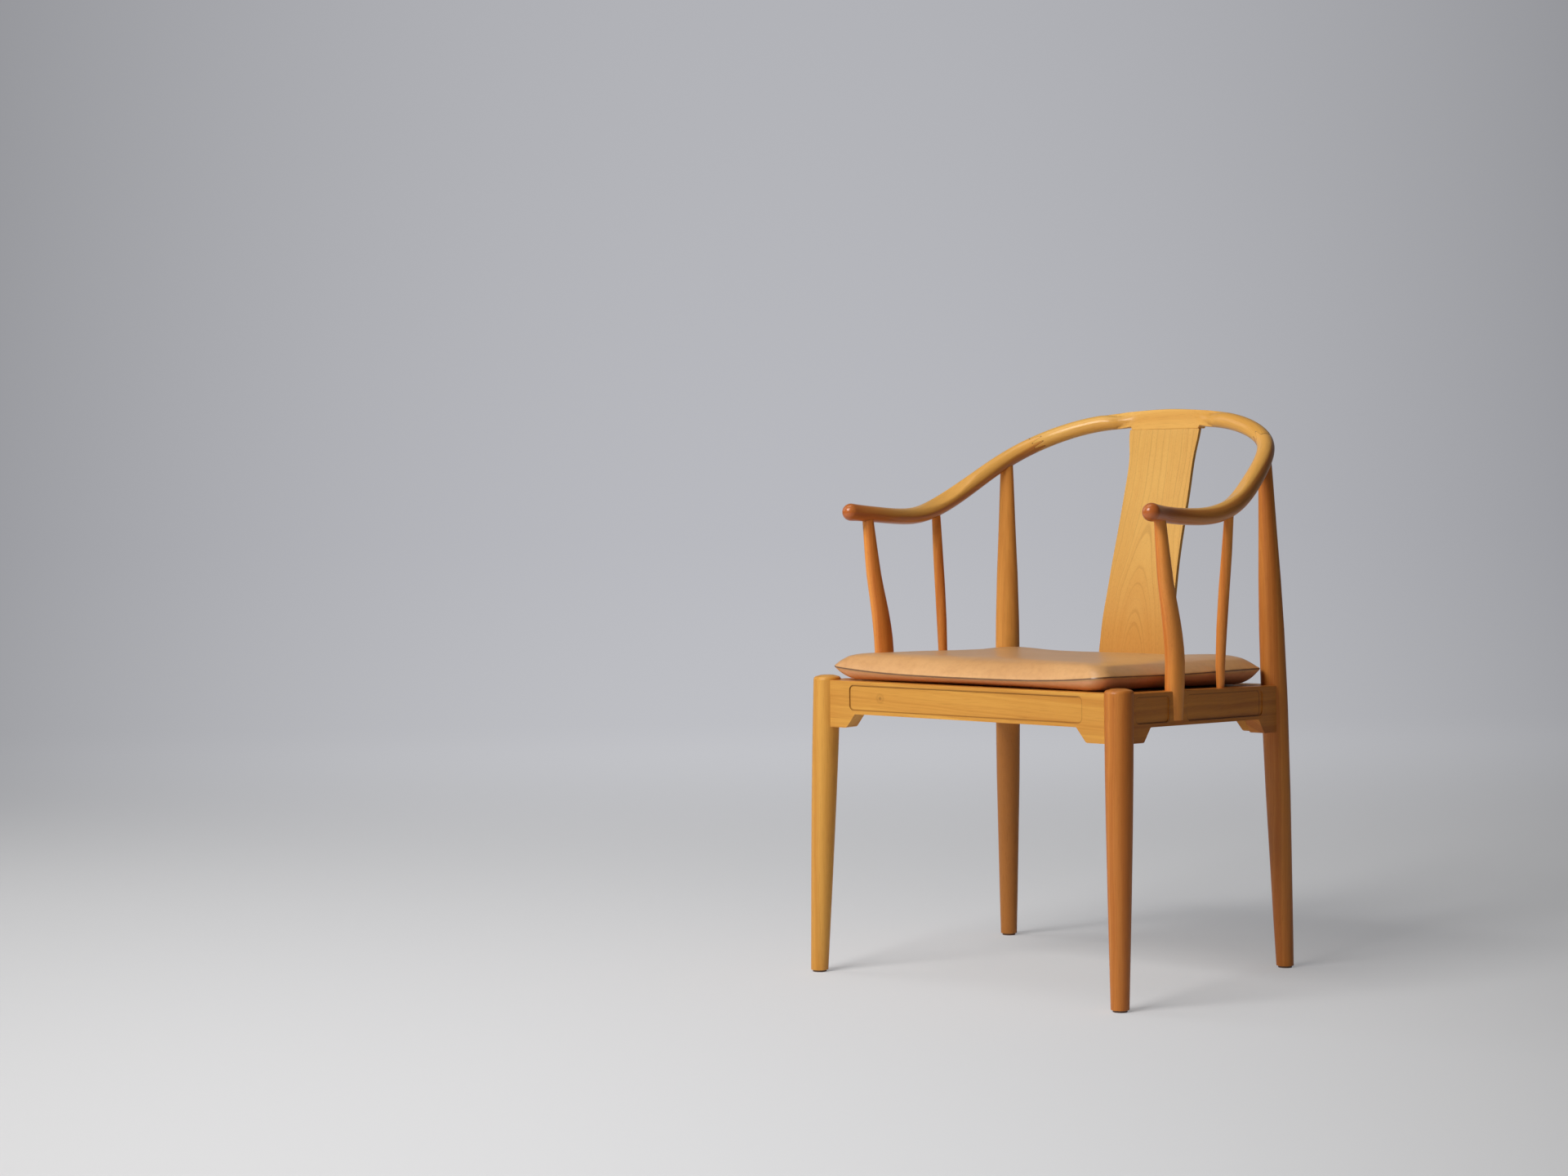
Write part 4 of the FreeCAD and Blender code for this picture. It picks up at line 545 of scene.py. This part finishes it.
def arm_surface(columns=160):
    """One arm: a domed tip, then oval sections up to the fingers. The sections swell at the tip and draw in
    at the neck behind it. Where the hand turns, a plane tilted inwards cuts their top at planed times the
    half height. Rings near the joint are pulled along the rail by the fingers' zigzag."""
    swell, swell_reach = 0.030, 0.009
    neck, neck_place, neck_reach = 0.012, 0.030, 0.014
    turn_place, turn_reach, plane_tilt = RAIL_KNOTS[4] + 0.01, 0.075, math.radians(112)
    angles = np.linspace(0, 2 * np.pi, columns, endpoint=False)
    end = joint_line(angles) - HALF_GLUE
    start = np.minimum(JOINT_PLACE - JOINT_NEAR, end)
    lead = np.linspace(0, 1, 230)[:, None] * start
    last = start + (end - start) * np.linspace(0, 1, 30)[1:-1, None]
    places = np.vstack([lead, last, end - JOINT_RINGS[::-1]])
    centre, aim, wide, high, level, upright, tangent = rail_sections(places, angles)
    girth = 1 + swell * hump(places, 0.0, swell_reach) - neck * hump(places, neck_place, neck_reach)
    planed = 1.30 - 0.60 * hump(places, turn_place, turn_reach)
    facing = np.clip(np.cos(angles - plane_tilt), LEAST_FACING, 1)
    radius = soft_least(oval_radius(angles, wide * girth, high * girth), planed * high / facing, 16)
    points = centre + aim * radius[..., None]
    turn = np.linspace(0, np.pi / 2, DOME_RINGS + 1)[:-1, None, None]
    tip_girth = radius[0][:, None]
    dome = centre[0] - tangent[0] * np.cos(turn) * tip_girth + aim[0] * np.sin(turn) * tip_girth
    closing = centre[-1] + (points[-1] - centre[-1]) * np.linspace(1, 0, CAP_RINGS + 1)[1:, None, None]
    whole = np.vstack([dome, points, closing])
    way = np.vstack([-np.cos(turn[..., 0]) * radius[0], with_ends(places, 0, CAP_RINGS)])
    centres, levels, uprights = [with_ends(rows, DOME_RINGS, CAP_RINGS) for rows in (centre, level, upright)]
    return whole, grain_marks(way, whole - centres, levels, uprights), np.abs(end - way)


def lug_floor(out):
    """Lower edge of the crest's lug: the seam with the splat, then a quarter circle that sweeps out and up:
    seam + sqrt(flare^2 - (flare - past)^2)."""
    past = np.clip(np.abs(out) - SPLAT_HALF, 0, LUG_FLARE)
    return SEAM_HIGH + np.sqrt(LUG_FLARE ** 2 - (LUG_FLARE - past) ** 2)


def crest_surface(columns=224):
    """The crest between its two finger joints: oval sections joined with the lug, which is a slab between
    the flat front and a plane behind it down to lug_floor, all planed to the flat front. Beyond the lug the
    planed form fades into the plain bar, within fade_run below and over a longer way above, so that its
    corner sweeps out. A flat at distance d, seen along an angle, lies at d / cos(angle to its normal)."""
    corner_out, crowding, crowd_reach = 0.069, 7, 0.010
    fade_from, fade_sooner, fade_run, fade_longer = 0.0590, 0.012, 0.036, 0.034
    angles = np.linspace(0, 2 * np.pi, columns, endpoint=False)
    total = RAIL_KNOTS[-1]
    half = total / 2
    start = joint_line(angles) + HALF_GLUE
    inner = np.maximum(JOINT_PLACE + JOINT_NEAR, start)
    lead = start + (inner - start) * np.linspace(0, 1, 30)[1:-1, None]
    # rings stand closer where the lug's corners sweep out
    way = np.linspace(0, 1, 4000)
    far = (half - JOINT_PLACE - JOINT_NEAR) * (1 - way)
    run = np.cumsum(1 + crowding * hump(far, corner_out, crowd_reach))
    spread = np.interp(np.linspace(run[0], run[-1], 130), run, way)[:, None]
    right = np.vstack([start + JOINT_RINGS, lead, inner + (half - inner) * spread])
    places = np.vstack([right, (total - right)[-2::-1]])
    centre, aim, wide, high, level, upright, tangent = rail_sections(places, angles)
    out = centre[..., 0]
    front = np.array([0.0, -math.cos(SPLAT_LEAN), math.sin(SPLAT_LEAN)])
    to_front = ((np.array([0.0, SPLAT_TOP_AFT, SEAM_HIGH]) - centre) * front).sum(-1)
    facing = (aim * front).sum(-1)
    bar = oval_radius(angles, wide, high)

    def flat(distance, towards, beyond):
        """A flat at a distance along each angle of the section, and beyond where it isn't faced."""
        return np.where(towards > LEAST_FACING, distance / np.clip(towards, LEAST_FACING, None), beyond)

    plane = flat(np.clip(to_front, 1e-4, None), facing, 1.0)
    behind = flat(LUG_THICK - to_front, -facing, 1.0)
    below = flat(np.clip(centre[..., 2] - lug_floor(out), NO_LENGTH, None), -aim[..., 2], NO_LENGTH)
    lug = np.minimum(np.minimum(below, plane), np.clip(behind, NO_LENGTH, None))
    lug = np.where(np.abs(out) < SPLAT_HALF + LUG_FLARE, lug, NO_LENGTH)
    lifted = (aim[..., 2] + 1) / 2
    fading = smooth((np.abs(out) - fade_from + fade_sooner * lifted) / (fade_run + fade_longer * lifted))
    radius = np.minimum(soft_most(bar, lug, 24), plane) * (1 - fading) + bar * fading
    points = centre + aim * radius[..., None]
    caps = [centre[k] + (points[k] - centre[k]) * np.linspace(0, 1, CAP_RINGS + 1)[:-1, None, None]
            for k in (0, -1)]
    whole = np.vstack([caps[0], points, caps[1][::-1]])
    places, centre, level, upright = [with_ends(rows, CAP_RINGS, CAP_RINGS)
                                      for rows in (places, centre, level, upright)]
    gap = np.minimum(np.abs(places - start), np.abs(total - places - start))
    return whole, grain_marks(places, whole - centre, level, upright), gap


def closed_mesh(name, points, marks):
    """A mesh from rings, its poles welded and faces outwards. marks is {attribute name: values a point}."""
    mesh = mesh_from_grid(name, points, closed=True)
    for mark, values in marks.items():
        kind, field = ("FLOAT_VECTOR", "vector") if values.ndim == 3 else ("FLOAT", "value")
        layer = mesh.attributes.new(mark, kind, "POINT")
        layer.data.foreach_set(field, np.ascontiguousarray(values, dtype=np.float32).reshape(-1))
    work = bmesh.new()
    work.from_mesh(mesh)
    bmesh.ops.remove_doubles(work, verts=work.verts, dist=1e-6)
    bmesh.ops.recalc_face_normals(work, faces=work.faces)
    work.to_mesh(mesh)
    work.free()
    return mesh


def make_horseshoe(arm_wood, crest_wood):
    """The horseshoe rail: the right arm, the same mirrored as the left arm, and the crest."""
    points, grain, gap = arm_surface()
    for side, flip in (("right", 1), ("left", -1)):
        turned = points * np.array([flip, 1, 1])
        mesh = closed_mesh("arm_rail_" + side + "_wood", turned[:, ::flip],
                           {"grain_run": grain[:, ::flip], "joint_gap": gap[:, ::flip]})
        mesh.materials.append(arm_wood)
        arm = put_piece("arm_" + side, mesh)
        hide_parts("arm_rail_" + side)
        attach(arm, "frame")
    points, grain, gap = crest_surface()
    mesh = closed_mesh("crest_rail_wood", points, {"grain_run": grain, "joint_gap": gap})
    mesh.materials.append(crest_wood)
    crest = put_piece("crest_bar", mesh)
    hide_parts("crest_rail")
    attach(crest, "frame")


# Seat cushion

CUSHION_MIDDLE = np.array([0.0, -0.056])
CUSHION_HALF_WIDE, CUSHION_HALF_DEEP = 0.243, 0.205


def seat_top(y):
    """Height of the rails' top plane, which falls towards the back."""
    return SEAT_FRONT - SEAT_SLOPE * (y - SEAT_FRONT_Y)


def cushion_outline(count):
    """The seam seen from above: a four-sided outline whose corners are circle arcs, whose front and side
    edges draw in a little between the corners and whose rear edge bows out, each by bow·sin(pi·share)^1.2.
    Returns points at even steps, starting at a front corner and going round."""
    corners = np.array([(0.2435, -0.2615), (0.2395, 0.1500), (-0.2395, 0.1500), (-0.2435, -0.2615)])
    radii = (0.020, 0.018, 0.018, 0.020)
    bows = (-0.0035, 0.0085, -0.0035, -0.0025)
    arcs = []
    for k, radius in enumerate(radii):
        here, before, after = corners[k], corners[k - 1], corners[(k + 1) % 4]
        back = (before - here) / np.linalg.norm(before - here)
        on = (after - here) / np.linalg.norm(after - here)
        half = np.arccos(np.dot(back, on)) / 2
        start = here + back * radius / np.tan(half)
        finish = here + on * radius / np.tan(half)
        middle = here + (back + on) / np.linalg.norm(back + on) * radius / np.sin(half)
        first = np.arctan2(*(start - middle)[::-1])
        last = np.arctan2(*(finish - middle)[::-1])
        if last < first:
            last += 2 * np.pi
        angle = np.linspace(first, last, 24)
        arcs.append(middle + radius * np.stack([np.cos(angle), np.sin(angle)], -1))
    pieces = []
    share = np.linspace(0, 1, 60)[1:-1, None]
    for k, bow in enumerate(bows):
        start, run = arcs[k][-1], arcs[(k + 1) % 4][0] - arcs[k][-1]
        outward = np.array([run[1], -run[0]]) / np.linalg.norm(run)
        pieces += [arcs[k], start + run * share + outward * bow * np.sin(np.pi * share) ** 1.2]
    loop = np.vstack(pieces + [arcs[0][:1]])
    steps = np.concatenate([[0], np.cumsum(np.linalg.norm(np.diff(loop, axis=0), axis=1))])
    even = np.linspace(0, steps[-1], count, endpoint=False)
    return np.stack([np.interp(even, steps, loop[:, k]) for k in range(2)], -1)


def seam_height(outline):
    """Height of the seam: low in the middle of the front, higher along the sides, with the cube of the way
    out, and a little higher still towards the back."""
    x, y = outline[:, 0], outline[:, 1]
    side = np.clip(np.abs(x) / CUSHION_HALF_WIDE, 0, 1)
    behind = np.clip((y - CUSHION_MIDDLE[1]) / CUSHION_HALF_DEEP, 0, 1)
    return seat_top(y) + 0.0110 + 0.0100 * side ** 3 + 0.0042 * behind * side


def ripples(x, y, seed, scale, count=9):
    """A sum of plane waves whose directions, lengths and phases come from a seeded list."""
    chance = np.random.default_rng(seed)
    total = np.zeros_like(x)
    for wave in range(count):
        turn = chance.uniform(0, 2 * np.pi)
        size = scale * chance.uniform(0.6, 1.7)
        phase = chance.uniform(0, 6.3)
        total += np.sin((x * np.cos(turn) + y * np.sin(turn)) * 2 * np.pi / size + phase)
    return total / np.sqrt(count)


def cushion_surface(count=420, rows=64):
    """The cushion as rings from the seam (row 0) to the middle. A ring is the outline drawn towards the
    centre. From the seam the leather rises as a steep superellipse roll, top = seam + (crown - seam)·
    (1 - (1 - depth/reach)^p)^q, and runs into the slow crown, which is raised a little in the middle and
    at the rear corners. Below the seam the same kind of roll turns under to the flat rest."""
    crown_high, crown_rise, rest_gap = 0.0372, 0.003, 0.0008
    horn, horn_out, horn_aft, horn_reach = 0.0045, 0.185, 0.105, 0.055
    outline = cushion_outline(count)
    seam = seam_height(outline)
    inset = np.linspace(0, 1, rows) ** 2.3
    rings = CUSHION_MIDDLE + (outline - CUSHION_MIDDLE)[None] * (1 - inset)[:, None, None]
    depth = inset[:, None] * np.linalg.norm(outline - CUSHION_MIDDLE, axis=1)[None]
    x, y = rings[..., 0], rings[..., 1]
    across, along = x / CUSHION_HALF_WIDE, (y - CUSHION_MIDDLE[1]) / CUSHION_HALF_DEEP
    crown = seat_top(y) + crown_high + crown_rise * (1 - across ** 2) * (1 - along ** 2)
    crown = crown + horn * np.exp(-((np.abs(x) - horn_out) ** 2 + (y - horn_aft) ** 2) / horn_reach ** 2)

    def roll(goal, reach, power, root):
        """From the seam to a goal height, over a reach."""
        height = seam + (goal - seam) * (1 - np.clip(1 - depth / reach, 0, 1) ** power) ** root
        return np.stack([x, y, height], -1)

    return roll(crown, 0.062, 2.5, 0.70), roll(seat_top(y) + rest_gap, 0.040, 2.0, 0.80), depth


def swollen(points):
    """How far pressure moves the leather: a voxel copy of the pad is blown up as cloth, and each point of
    the pad takes the capped move of its nearest point there, smoothed over the grid."""
    voxel, steps, most_move = 0.006, 20, 0.006
    scene = bpy.context.scene
    blank = put_piece("pad_blank", closed_mesh("pad_blank", points, {}))
    remesh = blank.modifiers.new("even", "REMESH")
    remesh.mode, remesh.voxel_size = "VOXEL", voxel
    graph = bpy.context.evaluated_depsgraph_get()
    pad = put_piece("pad_cloth", bpy.data.meshes.new_from_object(blank.evaluated_get(graph)))
    rest = np.empty(len(pad.data.vertices) * 3)
    pad.data.vertices.foreach_get("co", rest)
    rest = rest.reshape(-1, 3)
    cloth = pad.modifiers.new("blow", "CLOTH")
    cloth.settings.quality = 5
    cloth.settings.use_pressure = True
    cloth.settings.uniform_pressure_force = 4.0
    cloth.settings.effector_weights.gravity = 0
    cloth.point_cache.frame_start, cloth.point_cache.frame_end = 1, steps
    for step in range(1, steps + 1):
        scene.frame_set(step)
    shape = pad.evaluated_get(bpy.context.evaluated_depsgraph_get()).to_mesh()
    now = np.empty(len(shape.vertices) * 3)
    shape.vertices.foreach_get("co", now)
    move = now.reshape(-1, 3) - rest
    scene.frame_set(1)
    for piece in (pad, blank):
        bpy.data.objects.remove(piece, do_unlink=True)
    length = np.linalg.norm(move, axis=1, keepdims=True)
    move *= np.minimum(1, most_move / np.maximum(length, 1e-9))
    # nearest by |a - b|^2 = |a|^2 - 2·a·b + |b|^2, whose first term is the same for every b
    weight = (rest ** 2).sum(-1) / 2
    nearest = np.concatenate([(part @ rest.T - weight).argmax(1)
                              for part in np.array_split(points.reshape(-1, 3), 60)])
    field = move[nearest].reshape(points.shape)
    for smoothing in range(12):
        field[1:-1] = (field[:-2] + 2 * field[1:-1] + field[2:]) / 4
        field = (np.roll(field, 1, 1) + 2 * field + np.roll(field, -1, 1)) / 4
    return field


def make_cushion(leather):
    """The leather cushion: its surface moved by pressure, but held at the seam and flat where it rests. On
    top come the filling's slow unevenness, puckers by the seam, which are sums of sines round the pad, and
    the seam's groove between two rolled lips."""
    held, sink, rise, spread = 0.004, 0.002, 0.0025, 0.0015
    over, under, depth = cushion_surface()
    points = np.concatenate([under[::-1], over[1:]], 0)
    gap = np.concatenate([-depth[::-1], depth[1:]], 0)
    near = np.abs(gap)
    x, y = points[..., 0], points[..., 1]
    field = swollen(points)
    field[..., 2] = np.where(gap < 0, np.maximum(field[..., 2], 0), field[..., 2])
    field *= np.clip(near / held, 0, 1)[..., None]
    field[..., 2] = np.clip(field[..., 2], -sink, rise)
    field[..., :2] = np.clip(field[..., :2], -spread, spread)
    points = points + field
    uneven = 0.00055 * ripples(x, y, 4, 0.16) * np.clip(gap / 0.05, 0, 1)
    points[..., 2] += np.where(gap > 0, uneven, 0)
    around = np.linspace(0, 2 * np.pi, points.shape[1], endpoint=False)
    pucker = sum(np.sin(k * around + k * k) for k in (37, 53, 71, 90)) / 4
    lift = 0.00035 * pucker * hump(near, 0.006, 0.005)
    points[..., 2] += np.where(gap > 0, lift, -lift)
    outward = points[:, :, :2] - CUSHION_MIDDLE
    outward /= np.linalg.norm(outward, axis=-1, keepdims=True) + 1e-9
    groove, lips = 0.0013 * hump(near, 0.0, 0.0006), 0.0004 * hump(near, 0.0016, 0.0012)
    points[..., :2] += outward * (lips - groove)[..., None]
    mesh = closed_mesh("seat_cushion_hide", points, {"seam_gap": gap})
    mesh.materials.append(leather)
    cushion = put_piece("cushion_cover", mesh)
    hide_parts("seat_cushion")
    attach(cushion, "cushion")


ahead = put_camera()
sweep, forward, across = studio_sweep(ahead)
sweep.data.materials.append(sweep_finish(forward, across))
put_world(0.06)
put_lamp("key_lamp", (-0.45, -3.6, 3.0), (0.0, 0.1, 0.4), (2.2, 1.8), 166.0, (1.0, 0.985, 0.96))
put_lamp("top_lamp", (-0.7, -0.7, 3.7), (0.0, 0.0, 0.4), (1.8, 1.8), 18.0)
put_lamp("left_lamp", (-3.4, -1.2, 2.2), (0.0, 0.0, 0.5), (1.6, 2.2), 18.0)
put_lamp("spark_lamp", (-1.5, -2.9, 3.2), (0.0, 0.0, 0.6), (0.22, 0.22), 7.0)

splat_wood = wood_finish("splat_wood", 2, (0.72, 0.42, 0.108), (0.60, 0.295, 0.060), 3.1, 0.24,
                         streaks=0.55, lines=0.55, heart=(0.004, -0.060), taper=0.17, level_off=0.62,
                         rings=130.0, through=0.0, blush_and_shade=((0.60, 0.235, 0.045), 0.34, 0.68))
front_wood = wood_finish("front_rail_wood", 0, (0.70, 0.355, 0.068), (0.54, 0.225, 0.036), 1.3, 0.65,
                         knot=((-0.150, -0.2568, 0.405), 0.009), fields=((0.0, 0.206),))
# side rails: a darker, redder tone than the front rail, painted shade of the right side rail
shaded_side_wood = wood_finish("shaded_side_wood", 1, (0.62, 0.235, 0.034), (0.42, 0.130, 0.018), 5.2, 0.65,
                        fields=((-0.178, 0.042), (0.009, 0.098)))
leg_wood = wood_finish("leg_wood", 2, (0.72, 0.365, 0.072), (0.55, 0.225, 0.034), 7.4, 0.7,
                       heart=(0.05, 0.3), taper=0.02)
# redder wood for the front right leg; on the rear right post its darkness is painted shade
shaded_warm_wood = wood_finish("shaded_warm_leg_wood", 2, (0.61, 0.235, 0.046), (0.45, 0.14, 0.024), 6.1, 0.75,
                        streaks=0.7, heart=(0.05, 0.3), taper=0.02)
# rear left post: a painted lit copy of the rear posts' wood, darker below the seat as painted shade
post_wood = wood_finish("post_wood", 2, (0.94, 0.460, 0.105), (0.72, 0.275, 0.050), 8.4, 0.55,
                        streaks=0.6, blush_and_shade=((0.46, 0.17, 0.036), 0.32, 0.50))
red_wood = wood_finish("arm_post_wood", 2, (0.86, 0.345, 0.070), (0.60, 0.180, 0.030), 9.1, 0.7, streaks=0.65)
# the arms: a paler top painted as light from above
arm_wood = wood_finish("arm_wood", 0, (0.62, 0.265, 0.050), (0.41, 0.130, 0.022), 4.4, 0.7,
                       grain="grain_run", blush_and_shade=((0.44, 0.110, 0.024), 0.005, 0.16), roughness=0.30,
                       lit_top=(0.82, 0.43, 0.100), coat=0.45)
crest_wood = wood_finish("crest_wood", 0, (0.80, 0.46, 0.120), (0.65, 0.32, 0.064), 2.2, 0.55,
                         grain="grain_run", roughness=0.30, coat=0.16)
dress(splat_wood, "back_splat")
dress(front_wood, "front_rail", "back_rail")
dress(shaded_side_wood, "side_rail_left", "side_rail_right")
dress(leg_wood, "front_leg_left")
dress(shaded_warm_wood, "front_leg_right", "rear_post_right")
dress(post_wood, "rear_post_left")
dress(red_wood, "arm_post_left", "arm_post_right", "side_spindle_left", "side_spindle_right")
make_horseshoe(arm_wood, crest_wood)
dress(plain_finish("deck_birch", (0.56, 0.40, 0.25), 0.6), "seat_deck", "corner_block_front_left",
      "corner_block_front_right", "corner_block_rear_left", "corner_block_rear_right")
dress(plain_finish("glide_brown", (0.16, 0.09, 0.05), 0.5), "foot_glide_front_left",
      "foot_glide_front_right", "foot_glide_rear_left", "foot_glide_rear_right")
dress(plain_finish("screw_plate", (0.55, 0.55, 0.56), 0.35, 1.0), "block_screws", "deck_screws")
make_cushion(leather_finish())

bpy.context.scene.view_settings.view_transform = "Standard"
